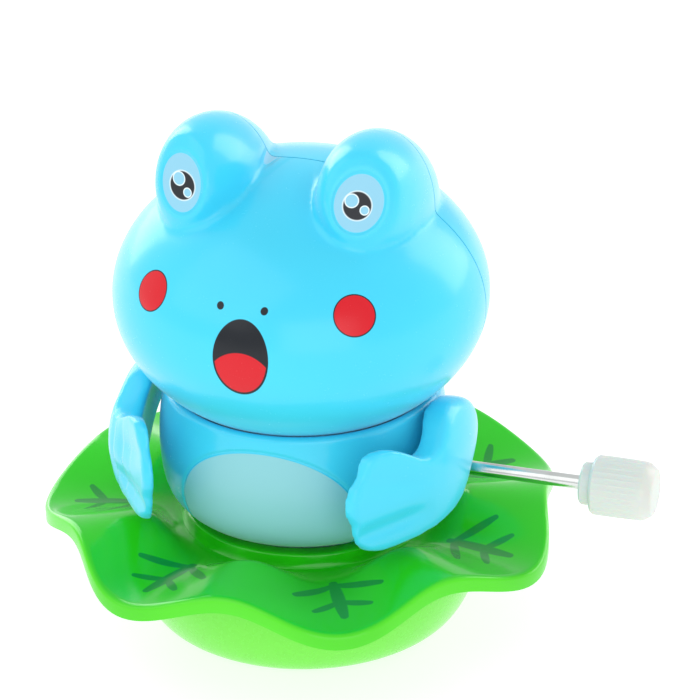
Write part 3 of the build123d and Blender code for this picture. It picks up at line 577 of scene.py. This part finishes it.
bpy.ops.mesh.primitive_uv_sphere_add(
    segments=160, ring_count=96, radius=MM, location=Vector(HEAD_AT) * MM, scale=HEAD_HALF
)
head = settle("head")
for hand in (1, -1):
    at = Vector((hand * BULGE_AT[0], BULGE_AT[1], BULGE_AT[2]))
    bpy.ops.mesh.primitive_uv_sphere_add(
        segments=96, ring_count=64, radius=MM, location=at * MM, rotation=(BULGE_TILT, 0, 0), scale=BULGE_HALF
    )
    bulge = settle("bulge")
    centre, facing = eye_axes(hand)[:2]
    cut(bulge, centre, facing, fill=True)
    finish_with(head, "BOOLEAN", operation="UNION", object=bulge, solver="EXACT")
    drop(bulge)
print("head form:", len(head.data.polygons), "faces")

# %% One even skin, softened
finish_with(head, "REMESH", mode="VOXEL", voxel_size=0.5 * MM)
EYE_GROUP = "round the eyes"
eyes = head.vertex_groups.new(name=EYE_GROUP)
for point in head.data.vertices:
    near = min((point.co / MM - eye_axes(hand)[0]).length for hand in (1, -1))
    if near < 11:
        eyes.add([point.index], min(1.0, (11 - near) / 3), "REPLACE")
finish_with(head, "SMOOTH", factor=0.5, iterations=8)
finish_with(head, "SMOOTH", factor=0.5, iterations=24, vertex_group=EYE_GROUP)
print("head skin:", len(head.data.polygons), "faces")

# %% Front and back shell
HEAD_JOINT_Y, HEAD_MOUTH_Z, JOINT_GAP = 1.9, 40.3, 0.26
HEAD_WALL, LIP_REACH, LIP_WALL = 1.3, 1.2, 0.6
cut(head, (0, 0, HEAD_MOUTH_Z), (0, 0, 1), keep_below=False)
head_back = copy_of(head, "head_back")
head_lip = copy_of(head, "head_lip")
head_front = head
head_front.name = head_front.data.name = "head_front"
cut(head_front, (0, HEAD_JOINT_Y - JOINT_GAP / 2, 0), (0, 1, 0))
cut(head_back, (0, HEAD_JOINT_Y + JOINT_GAP / 2, 0), (0, 1, 0), keep_below=False)
# A thin lip inside the back shell covers the joint, so that no light shows through it.
cut(head_lip, (0, HEAD_JOINT_Y - LIP_REACH, 0), (0, 1, 0), keep_below=False)
cut(head_lip, (0, HEAD_JOINT_Y + LIP_REACH, 0), (0, 1, 0))
outward(head_lip)
finish_with(head_lip, "DISPLACE", strength=-HEAD_WALL * MM, mid_level=0.0)
finish_with(head_lip, "SOLIDIFY", thickness=LIP_WALL * MM, offset=-1.0)
smooth(head_lip, 50)
head_lip.data.materials.clear()
head_lip.data.materials.append(frog_blue)
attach(head_lip, "head")
HEAD_SHELLS = ((head_front, "head_front_shell", front_blue), (head_back, "head_back_shell", frog_blue))
for shell, node, finish in HEAD_SHELLS:
    outward(shell)
    finish_with(shell, "SOLIDIFY", thickness=HEAD_WALL * MM, offset=-1.0)
    smooth(shell, 50)
    shell.data.materials.clear()
    shell.data.materials.append(finish)
    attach(shell, "head")
    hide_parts(node)
    print(shell.name, len(shell.data.polygons), "faces")

# %% [markdown]
# ## The body
# The body is a squat barrel with a rolled shoulder. It is turned as one skin, cut into its two
# shells at the side joint and given its wall. The belly is a matt pale print inside a groove.

# %% Belly finish
BODY_RADIUS = 24.3
belly_blue, tree, shader = finish_tree("belly plastic", **GLOSS)
skin = use(tree, moulded, **FROG_SKIN)
point, parts = place_in_mm(tree)
round_body = maths(tree, "ARCTAN2", parts[0], maths(tree, "MULTIPLY", parts[1], -1.0))
unrolled = put(tree, "CombineXYZ")
feed(tree, unrolled, 0, maths(tree, "MULTIPLY", round_body, BODY_RADIUS))
feed(tree, unrolled, 2, parts[2])
BELLY_AT, BELLY_HALF = (0.5, 0, 26.1), (16.5, 14.0)
patch = use(
    tree, oval, Point=unrolled.outputs[0], Centre=BELLY_AT, Across=(1, 0, 0), Along=(0, 0, 1),
    Half_across=BELLY_HALF[0], Half_along=BELLY_HALF[1], Edge=0.006,
)
colour = blend(tree, patch["Mask"], skin["Colour"], (0.27, 0.62, 0.69, 1))
from_belly = patch["Distance"]
groove = maths(
    tree, "MULTIPLY", ramp(tree, from_belly, 1.0, 1.02), ramp(tree, from_belly, 1.02, 1.06, 1.0, 0.0)
)
lip = maths(
    tree, "MULTIPLY", ramp(tree, from_belly, 1.03, 1.07), ramp(tree, from_belly, 1.07, 1.16, 1.0, 0.0)
)
height = maths(tree, "MULTIPLY_ADD", groove, -14.0, maths(tree, "MULTIPLY_ADD", lip, 8.0, skin["Height"]))
rough = maths(tree, "MULTIPLY_ADD", patch["Mask"], 0.34, skin["Roughness"])
roll_out(tree, shader, colour, rough, height)

# %% Body shells
BODY_WALL = 1.3
body_rings = [(16.6, 18.3), (17.1, 19.0), (17.4, 20.0), (19.6, 20.7), (21.4, 21.6), (22.7, 22.9)]
body_rings += [(23.6, 24.5), (24.2, 26.5), (24.55, 29.0), (24.75, 32.0), (24.7, 34.5), (24.5, 37.0)]
body_rings += [(24.25, 39.2), (24.0, 41.0)]
body_rings += arc((22.95, 42.17), (1.0, 1.0), 5, 120, 8)
body_rings += [(21.4, 42.1), (19.6, 40.9), (17.6, 39.7), (15.8, 38.9)]
body = turned("body", body_rings, 160)
finish_with(body, "SUBSURF", levels=1, render_levels=1)
body_back = copy_of(body, "body_back")
body_front = body
body_front.name = body_front.data.name = "body_front"
cut(body_front, (0, -0.05, 0), (0, 1, 0))
cut(body_back, (0, 0.05, 0), (0, 1, 0), keep_below=False)
BODY_SHELLS = ((body_front, "body_front_shell", belly_blue), (body_back, "body_back_shell", frog_blue))
for shell, node, finish in BODY_SHELLS:
    outward(shell)
    finish_with(shell, "SOLIDIFY", thickness=BODY_WALL * MM, offset=-1.0)
    smooth(shell, 45)
    shell.data.materials.append(finish)
    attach(shell, "root")
    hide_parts(node)
    print(shell.name, len(shell.data.polygons), "faces")

# %% [markdown]
# ## The lily pad
# The pad is one moulding: a floor, the collar the body sits in, and the leaf that waves seven
# times round its edge. The round part is drawn up ring by ring. The wave follows one formula,
# so it is set in code rather than pulled point by point.

# %% Leaf finish
leaf_green, tree, shader = finish_tree(
    "leaf plastic",
    Specular_IOR_Level=0.35,
    Coat_Weight=0.12,
    Coat_Roughness=0.06,
    Sheen_Weight=0.05,
    Sheen_Roughness=0.4,
)
skin = use(tree, moulded, Colour=(0.02, 0.6, 0.006, 1), Gloss=0.14, Shade=0.08, Marks=0.5)
point, parts = place_in_mm(tree)
squares = maths(tree, "ADD", maths(tree, "POWER", parts[0], 2.0), maths(tree, "POWER", parts[1], 2.0))
radius = maths(tree, "SQRT", squares)
LOBES = 7
LOBE_TURN = 2 * math.pi / LOBES
LEAF_EDGE, LOBE_DEPTH = 43.54, 1.7  # the leaf's mean radius, and how far a valley reaches past it
turn = maths(tree, "ARCTAN2", parts[0], maths(tree, "MULTIPLY", parts[1], -1.0))
wave = maths(tree, "COSINE", maths(tree, "MULTIPLY", turn, float(LOBES)))
edge = maths(tree, "SUBTRACT", LEAF_EDGE, maths(tree, "MULTIPLY", wave, LOBE_DEPTH))
to_edge = maths(tree, "SUBTRACT", edge, radius)
# Painted highlight: a band along the rolled edge is painted a lighter yellow-green where light catches the
# roll.
colour = blend(tree, ramp(tree, to_edge, 0.0, 0.9, 1.0, 0.0), skin["Colour"], (0.09, 0.72, 0.015, 1))
# Painted shade: the low valleys of the wave are painted darker green, strongest near the body and fading
# towards the edge.
body_shade_fade = ramp(tree, radius, 24.0, 38.0, 1.0, 0.25)
low = maths(tree, "MULTIPLY", ramp(tree, wave, -1.0, 0.1, 1.0, 0.0), body_shade_fade)
colour = blend(tree, maths(tree, "MULTIPLY", low, 0.5), colour, (0.004, 0.4, 0.002, 1))

# Each valley carries one vein: the turn is folded to the nearest valley first. The print sits
# a little off the middle of its valley.
VEIN_TURN = math.radians(1.7)
folded = maths(tree, "FLOORED_MODULO", maths(tree, "SUBTRACT", turn, VEIN_TURN), LOBE_TURN)
folded = maths(tree, "SUBTRACT", folded, LOBE_TURN / 2)
drawing = put(tree, "CombineXYZ")
feed(tree, drawing, 0, maths(tree, "ABSOLUTE", maths(tree, "MULTIPLY", radius, maths(tree, "SINE", folded))))
feed(tree, drawing, 1, maths(tree, "MULTIPLY", radius, maths(tree, "COSINE", folded)))
STROKES = (
    ((0, 28.2, 0), (0, 39.4, 0), 1.15),
    ((0, 28.8, 0), (7.2, 33.2, 0), 0.82),
    ((0, 34.4, 0), (4.7, 37.5, 0), 0.76),
)
vein = 0.0
for start, end, half_width in STROKES:
    drawn = use(tree, stroke, Point=drawing.outputs[0], A=start, B=end, Half_width=half_width)
    vein = maths(tree, "MAXIMUM", vein, drawn["Mask"])
facing = put(tree, "SeparateXYZ")
wire(tree, put(tree, "TexCoord").outputs["Normal"], facing.inputs[0])
top_only = ramp(tree, facing.outputs[2], 0.1, 0.3)
vein = maths(tree, "MULTIPLY", maths(tree, "MULTIPLY", vein, top_only), 0.9)
colour = blend(tree, vein, colour, (0.0, 0.25, 0.03, 1))
roll_out(tree, shader, colour, skin["Roughness"], skin["Height"], depth=0.005)

# %% Pad rings
LEAF_FOOT, LEAF_RISE_W, LEAF_FOOT_Z = 21.0, 8.0, 17.2
LEAF_MEAN_Z, LEAF_WAVE, LEAF_CROWN, LEAF_ROLL_W, LEAF_LIP = 19.5, 2.08, 0.8, 1.2, 2.0
pad_rings = [(11.8, 18.2), (17.6, 18.2), (17.95, 18.4), (18.0, 19.3)]
pad_rings += arc((18.45, 19.35), (0.45, 0.45), 170, 90, 4) + arc((20.3, 19.3), (0.5, 0.5), 90, 10, 4)
pad_rings += [(20.85, 18.4), (20.95, 17.8), (21.3, 17.35)]
LEAF_START = 22.0
LEAF_STEPS = 44
LEAF_WIDTH = LEAF_EDGE - LEAF_START
pad_rings += [(LEAF_START + LEAF_WIDTH * i / LEAF_STEPS, LEAF_FOOT_Z) for i in range(LEAF_STEPS + 1)]
lily_pad = turned("leaf", pad_rings, 224)

for point in lily_pad.data.vertices:
    x, y, z = point.co / MM
    span = math.hypot(x, y)
    if span < LEAF_START - 0.01:
        continue
    turn = math.atan2(x, -y)
    crest = math.cos(LOBES * turn)
    reach = LEAF_EDGE - LOBE_DEPTH * crest
    share = min(max((span - LEAF_START) / LEAF_WIDTH, 0), 1)
    share = 1 - (1 - share) ** 1.25
    new_span = LEAF_START + (reach - LEAF_START) * share
    climb = min(max((new_span - LEAF_FOOT) / LEAF_RISE_W, 0), 1)
    climb = climb * climb * (3 - 2 * climb)
    roll = min(max((new_span - (reach - LEAF_ROLL_W)) / LEAF_ROLL_W, 0), 1)
    crown = LEAF_MEAN_Z + LEAF_CROWN * math.sqrt(1 - roll * roll) + LEAF_WAVE * crest
    height = LEAF_FOOT_Z + (crown - LEAF_FOOT_Z) * climb
    point.co = Vector((math.sin(turn) * new_span, -math.cos(turn) * new_span, height)) * MM

# %% Lip and thickness
def on_leaf_edge(place):
    reach = LEAF_EDGE - LOBE_DEPTH * math.cos(LOBES * math.atan2(place.x, -place.y))
    return math.hypot(place.x, place.y) > reach - 0.01


pick_points(lily_pad, on_leaf_edge)
bpy.ops.mesh.extrude_region_move(TRANSFORM_OT_translate={"value": (0, 0, -LEAF_LIP * MM)})
leave_edit()
outward(lily_pad)
finish_with(lily_pad, "SOLIDIFY", thickness=1.15 * MM, offset=-1.0)
smooth(lily_pad, 42)
lily_pad.data.materials.append(leaf_green)

# %% Skirt and screw posts under the leaf
# The ring that drops into the bowl, and the posts that the base screws bite, hang underneath.
SKIRT_RADIUS, SKIRT_TOP_Z, SKIRT_HEIGHT = 29.2, 18.2, 6.0
POST_PLACES = ((14.2, -13.2), (-14.2, -13.2), (6.5, 18.0), (-6.5, 18.0))
POST_RADIUS, POST_HEIGHT, POST_MIDDLE_Z = 2.2, 15.2, 9.3
bpy.ops.mesh.primitive_circle_add(
    vertices=128, radius=SKIRT_RADIUS * MM, location=(0, 0, SKIRT_TOP_Z * MM)
)
skirt = settle("skirt")
bpy.ops.object.mode_set(mode="EDIT")
bpy.ops.mesh.select_all(action="SELECT")
bpy.ops.mesh.extrude_region_move(TRANSFORM_OT_translate={"value": (0, 0, -SKIRT_HEIGHT * MM)})
leave_edit()
finish_with(skirt, "SOLIDIFY", thickness=1.4 * MM, offset=0.0)
finish_with(skirt, "BEVEL", width=0.25 * MM, segments=2, limit_method="ANGLE")
posts = [skirt]
for x, y in POST_PLACES:
    bpy.ops.mesh.primitive_cylinder_add(
        vertices=32,
        radius=POST_RADIUS * MM,
        depth=POST_HEIGHT * MM,
        location=Vector((x, y, POST_MIDDLE_Z)) * MM,
    )
    post = settle("post")
    finish_with(post, "BEVEL", width=0.2 * MM, segments=2, limit_method="ANGLE")
    posts.append(post)
for piece in posts:
    piece.data.materials.append(leaf_green)
pick(lily_pad)
for piece in posts:
    piece.select_set(True)
bpy.ops.object.join()
smooth(lily_pad, 42)
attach(lily_pad, "root")
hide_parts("lily_pad")
print("leaf:", len(lily_pad.data.polygons), "faces")

# %% [markdown]
# ## The bowl
# A round bowl with a rounded foot, moulded in the same green as the leaf but paler, because
# nothing is printed on it. A faint line stands where the two halves of its mould met.

# %% Bowl finish and form
bowl_green, tree, shader = finish_tree(
    "bowl plastic", Coat_Weight=0.2, Coat_Roughness=0.1, Sheen_Weight=0.15, Sheen_Roughness=0.4
)
skin = use(tree, moulded, Colour=(0.19, 0.82, 0.055, 1), Gloss=0.24, Shade=0.02, Marks=0.5)
point = object_point(tree)
mould_line = put(tree, "VectorMath", operation="DOT_PRODUCT")
feed(tree, mould_line, 0, point)
MOULD_TURN = math.radians(19.3)
feed(tree, mould_line, 1, (math.cos(MOULD_TURN), math.sin(MOULD_TURN), 0))
ridge = ramp(tree, maths(tree, "ABSOLUTE", mould_line.outputs["Value"]), 0.05 * MM, 0.2 * MM, 1.0, 0.0)
height = maths(tree, "MULTIPLY_ADD", ridge, 4.0, skin["Height"])
roll_out(tree, shader, skin["Colour"], skin["Roughness"], height, depth=0.004)

bowl_rings = [(22.8, 1.4), (22.8, 0.25), (23.1, 0.02), (24.5, 0.0), (25.4, 0.25), (26.4, 0.85), (27.3, 1.75)]
bowl_rings += [(28.3, 3.3), (29.2, 5.3), (29.95, 7.4), (30.55, 9.6), (30.95, 12.0), (31.15, 14.2)]
base_bowl = turned("bowl", bowl_rings, 160)
outward(base_bowl)
finish_with(base_bowl, "SOLIDIFY", thickness=1.3 * MM, offset=-1.0)
finish_with(base_bowl, "SUBSURF", levels=1, render_levels=1)
smooth(base_bowl, 45)
base_bowl.data.materials.append(bowl_green)
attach(base_bowl, "root")
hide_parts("base_bowl")
print("bowl:", len(base_bowl.data.polygons), "faces")

# %% [markdown]
# ## The arms
# Each arm is a curved plate that wraps forward round the body, thick at the shoulder and thin
# at the webbed hand. A bar is drawn station by station round the body and cut to the outline
# seen from the side. It is then rebuilt as an even skin, softened, and pressed in between the
# fingers.

# %% Curved bar
# Middle of the bar and its half thickness along X, from the finger edge to the shoulder.
ARM_STATIONS = [
    (16.9, -31.0, 1.05), (17.5, -29.5, 1.1), (18.8, -27.5, 1.15), (20.4, -25.0, 1.3), (22.3, -22.0, 1.6),
    (24.1, -19.0, 1.9), (25.7, -16.0, 2.2), (26.9, -13.0, 2.4), (27.7, -10.0, 2.5), (28.2, -7.0, 2.5),
    (28.5, -4.0, 2.45), (28.5, -1.0, 2.4), (28.2, 2.0, 2.3), (27.6, 5.0, 2.1), (26.6, 8.0, 1.8),
]
ARM_MIDDLE_Z, ARM_HALF_Z = 35.0, 13.0
x, y, thick = ARM_STATIONS[0]
bpy.ops.mesh.primitive_cube_add(
    size=2 * MM, location=Vector((x, y - 0.25, ARM_MIDDLE_Z)) * MM, scale=(thick, 0.25, ARM_HALF_Z)
)
arm = settle("arm")
for next_x, next_y, next_thick in ARM_STATIONS[1:]:
    pick_points(arm, lambda p: p.y > y - 0.01)
    bpy.ops.mesh.extrude_region_move(
        TRANSFORM_OT_translate={"value": Vector((next_x - x, next_y - y, 0)) * MM}
    )
    bpy.ops.transform.resize(
        value=(next_thick / thick, 1, 1), center_override=Vector((next_x, next_y, ARM_MIDDLE_Z)) * MM
    )
    leave_edit()
    x, y, thick = next_x, next_y, next_thick
outward(arm)
print("bar:", len(arm.data.polygons), "faces")

# %% Outline seen from the side
ARM_OUTLINE = [
    (-26.9, 26.4), (-28.1, 28.0), (-28.6, 30.0), (-28.8, 31.9), (-29.6, 33.4), (-29.9, 34.8), (-29.8, 36.6),
    (-29.1, 38.6), (-27.6, 40.3), (-27.2, 41.8), (-26.9, 43.2), (-25.6, 44.0), (-23.4, 43.8), (-21.4, 42.9),
    (-19.4, 41.5), (-17.6, 40.1), (-16.0, 39.5), (-14.2, 39.9), (-12.4, 41.2), (-10.6, 42.9), (-8.6, 44.4),
    (-5.6, 44.7), (-2.0, 44.1), (1.2, 42.6), (3.6, 40.5), (4.8, 38.2), (4.4, 36.2), (2.2, 34.2),
    (-0.4, 32.6), (-2.6, 31.0), (-4.8, 29.0), (-7.4, 27.5), (-10.4, 26.6), (-14.0, 26.0), (-18.0, 25.5),
    (-22.0, 25.3), (-25.0, 25.5),
]
bpy.ops.mesh.primitive_circle_add(vertices=len(ARM_OUTLINE), radius=MM, fill_type="NGON")
cutter = settle("arm outline")
for point, (y, z) in zip(cutter.data.vertices, ARM_OUTLINE):
    point.co = Vector((12, y, z)) * MM
bpy.ops.object.mode_set(mode="EDIT")
bpy.ops.mesh.select_all(action="SELECT")
bpy.ops.mesh.extrude_region_move(TRANSFORM_OT_translate={"value": (24 * MM, 0, 0)})
leave_edit()
outward(cutter)
finish_with(arm, "BOOLEAN", operation="INTERSECT", object=cutter, solver="EXACT")
drop(cutter)
finish_with(arm, "REMESH", mode="VOXEL", voxel_size=0.36 * MM)
SHOULDER_GROUP = "rounder towards the shoulder"
rounder = arm.vertex_groups.new(name=SHOULDER_GROUP)
for point in arm.data.vertices:
    y = point.co.y / MM
    rounder.add([point.index], min(1.0, max(0.06, (y + 24) / 14)), "REPLACE")
finish_with(arm, "SMOOTH", factor=0.5, iterations=14)
finish_with(arm, "SMOOTH", factor=0.5, iterations=60, vertex_group=SHOULDER_GROUP)
print("arm skin:", len(arm.data.polygons), "faces")

# %% Fingers
# Two shallow channels fan out from the wrist on the outer face and leave three soft fingers.
# The shoulder then leans in towards the body as it rises.
CHANNELS = (((-17.5, 35.2), (-28.4, 39.8), 0.4), ((-15.5, 30.0), (-28.6, 29.6), 1.0))
SHOULDER_Z, LEAN = 35.5, 0.028
for point in arm.data.vertices:
    place = point.co / MM
    facing = min(max(point.normal.x * 2, 0), 1)
    press = 0
    for (ya, za), (yb, zb), depth in CHANNELS:
        run = Vector((yb - ya, zb - za))
        offset = Vector((place.y - ya, place.z - za))
        share = min(max(offset.dot(run) / run.length_squared, 0), 1.3)
        miss = (offset - run * share).length
        press = max(press, depth * math.exp(-((miss / 1.5) ** 2)) * min(1, share * 2.5))
    shoulder = min(max((place.y + 18) / 9, 0), 1)
    lean = LEAN * max(place.z - SHOULDER_Z, 0) ** 2 * shoulder * shoulder * (3 - 2 * shoulder)
    point.co = Vector((place.x - press * facing - lean, place.y, place.z)) * MM
finish_with(arm, "SMOOTH", factor=0.5, iterations=18)

# %% Left and right arm
left_arm = arm
left_arm.name = left_arm.data.name = "arm_left"
right_arm = copy_of(left_arm, "arm_right")
pick(right_arm)
bpy.ops.object.mode_set(mode="EDIT")
bpy.ops.mesh.select_all(action="SELECT")
bpy.ops.transform.resize(value=(-1, 1, 1), center_override=(0, 0, 0))
leave_edit()
# The right hand's back is fuller than the left one's.
PALM_AT, PALM_SWELL = (-14.5, 33.0), 1.7
for point in right_arm.data.vertices:
    x, y, z = point.co / MM
    station = min(ARM_STATIONS, key=lambda place: abs(place[1] - y))
    outer = min(max((-x - station[0] + station[2]) / (2 * station[2]), 0), 1)
    swell = PALM_SWELL * outer * math.exp(-(((y - PALM_AT[0]) / 6) ** 2) - ((z - PALM_AT[1]) / 7) ** 2)
    point.co.x -= swell * MM
finish_with(right_arm, "SMOOTH", factor=0.5, iterations=4)
for piece, node in ((left_arm, "left_arm"), (right_arm, "right_arm")):
    outward(piece)
    smooth(piece, 60)
    piece.data.materials.append(frog_blue)
    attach(piece, "root")
    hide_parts(node)
    print(piece.name, len(piece.data.polygons), "faces")

# %% [markdown]
# ## The winding knob
# A milky white knob on a steel rod. Its grip has fine ribs, a chamfered outer end and a round
# collar towards the toy.

# %% Knob finish and form
milky_white, tree, shader = finish_tree(
    "milky plastic", Subsurface_Weight=0.35, Subsurface_Scale=0.004, Coat_Weight=0.1, Coat_Roughness=0.2
)
skin = use(tree, moulded, Colour=(0.66, 0.71, 0.66, 1), Gloss=0.34, Shade=0.02, Marks=0.5)
roll_out(tree, shader, skin["Colour"], skin["Roughness"], skin["Height"])

KNOB_START, ROD_Z = 49.2, 29.82
knob_rings = [(1.35, 0.0), (3.3, 0.0), (3.6, 0.3), (3.65, 1.7), (4.0, 2.0), (4.7, 2.05)]
knob_rings += [(5.05, 2.5), (5.08, 4.5), (5.08, 6.5), (5.05, 8.5), (5.0, 10.6), (4.85, 11.2)]
knob_rings += [(3.95, 12.45), (3.6, 12.6), (1.5, 12.6), (0.4, 12.6)]
KNOB_RIBS, RIB_POINTS = 30, 8
knob = turned("knob", knob_rings, KNOB_RIBS * RIB_POINTS)
pick_points(knob, lambda p: math.hypot(p.x, p.y) < 0.5)
bpy.ops.mesh.edge_face_add()
leave_edit()
for point in knob.data.vertices:
    x, y, z = point.co / MM
    if 2.3 < z < 11.0 and math.hypot(x, y) > 4.9:
        rib = max(0, math.cos(KNOB_RIBS * math.atan2(y, x))) ** 2
        ease = min(1, (z - 2.2) / 1.0, (11.2 - z) / 1.0)
        share = 1 - 0.022 * (1 - rib) * max(ease, 0)
        point.co = Vector((x * share, y * share, z)) * MM
pick(knob)
bpy.ops.object.mode_set(mode="EDIT")
bpy.ops.mesh.select_all(action="SELECT")
bpy.ops.transform.rotate(value=math.radians(-90), orient_axis="Y", center_override=(0, 0, 0))
bpy.ops.transform.translate(value=(KNOB_START * MM, 0, ROD_Z * MM))
leave_edit()
outward(knob)
smooth(knob, 35)
knob.data.materials.append(milky_white)
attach(knob, "winding")
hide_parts("winding_knob")
inner_end = min(point.co.x for point in knob.data.vertices) / MM
print("knob:", len(knob.data.polygons), "faces, x from", round(inner_end, 2))

# %% [markdown]
# ## Finishes of the works
# The wheels, gears, screws and plates keep their exact shapes and get their finishes here:
# turned steel with fine rings, cut brass, zinc screws, nylon gears and black rubber.


# %% Metal and rubber
def metal(name, colour, roughness, streaks, scale, along):
    """Metal with fine tool marks across the given direction."""
    finish, tree, shader = finish_tree(name, Metallic=1.0)
    stretch = put(tree, "Mapping")
    wire(tree, object_point(tree), stretch.inputs["Vector"])
    stretch.inputs["Scale"].default_value = along
    marks = put(tree, "TexNoise")
    wire(tree, stretch.outputs[0], marks.inputs["Vector"])
    feed(tree, marks, "Scale", scale)
    feed(tree, marks, "Detail", 3.0)
    stain = put(tree, "TexNoise")
    wire(tree, object_point(tree), stain.inputs["Vector"])
    feed(tree, stain, "Scale", 160.0)
    dull = tuple(v * 0.78 for v in colour)
    tint = blend(tree, ramp(tree, stain.outputs["Fac"], 0.4, 0.75), (*colour, 1), (*dull, 1))
    rough = maths(tree, "MULTIPLY_ADD", marks.outputs["Fac"], streaks, roughness)
    roll_out(tree, shader, tint, rough, marks.outputs["Fac"], depth=0.008)
    return finish


rod_steel = metal("bright rod steel", (0.72, 0.74, 0.72), 0.08, 0.12, 900.0, (12, 1, 1))
arbor_steel = metal("arbor steel", (0.55, 0.55, 0.56), 0.22, 0.18, 900.0, (8, 1, 1))
screw_steel = metal("zinc screw steel", (0.6, 0.62, 0.64), 0.28, 0.2, 1500.0, (1, 1, 1))
spring_steel = metal("blued spring steel", (0.2, 0.22, 0.27), 0.25, 0.15, 900.0, (1, 6, 6))
pinion_brass = metal("cut brass", (0.8, 0.56, 0.22), 0.25, 0.18, 1200.0, (8, 1, 1))
motor_grey = plain_plastic("motor grey plastic", (0.55, 0.57, 0.58), gloss=0.38, marks=0.8)
gear_white = plain_plastic(
    "gear nylon", (0.78, 0.77, 0.71), gloss=0.42, marks=0.4, Subsurface_Weight=0.1, Subsurface_Scale=0.002
)
base_green = plain_plastic("base plate plastic", (0.1, 0.58, 0.03), gloss=0.3, marks=0.8)
wheel_black = plain_plastic("wheel plastic", (0.03, 0.03, 0.032), gloss=0.35, marks=0.6)
tyre_black = plain_plastic("tyre rubber", (0.018, 0.018, 0.018), gloss=0.62, marks=1.0, depth=0.06)

# %% Finishes on the frame's pieces
FINISHES = {
    "head_front_shell": front_blue,
    "head_back_shell": frog_blue,
    "body_front_shell": belly_blue,
    "body_back_shell": frog_blue,
    "left_arm": frog_blue,
    "right_arm": frog_blue,
    "head_carrier": motor_grey,
    "lily_pad": leaf_green,
    "base_bowl": bowl_green,
    "base_plate": base_green,
    "winding_knob": milky_white,
    "winding_shaft": rod_steel,
    "neck_bridge": arbor_steel,
    "neck_washer": screw_steel,
    "mainspring": spring_steel,
    "spring_cage": motor_grey,
    "motor_left_plate": motor_grey,
    "motor_right_plate": motor_grey,
    "motor_pillars": arbor_steel,
    "escape_wheel": pinion_brass,
    "pallet_anchor": pinion_brass,
    "second_pinion": pinion_brass,
    "escape_pinion": pinion_brass,
    "crank_disc": gear_white,
}
# The rest go by a word in the name; the first word that fits is taken.
BY_WORD = (
    ("screw", screw_steel),
    ("gear", gear_white),
    ("tyre", tyre_black),
    ("wheel", wheel_black),
    ("arbor", arbor_steel),
    ("axle", arbor_steel),
)
for name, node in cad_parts.items():
    finish = FINISHES.get(name)
    if finish is None:
        finish = next((made for word, made in BY_WORD if word in name), motor_grey)
    node.data.materials.clear()
    node.data.materials.append(finish)
    for face in node.data.polygons:
        face.material_index = 0
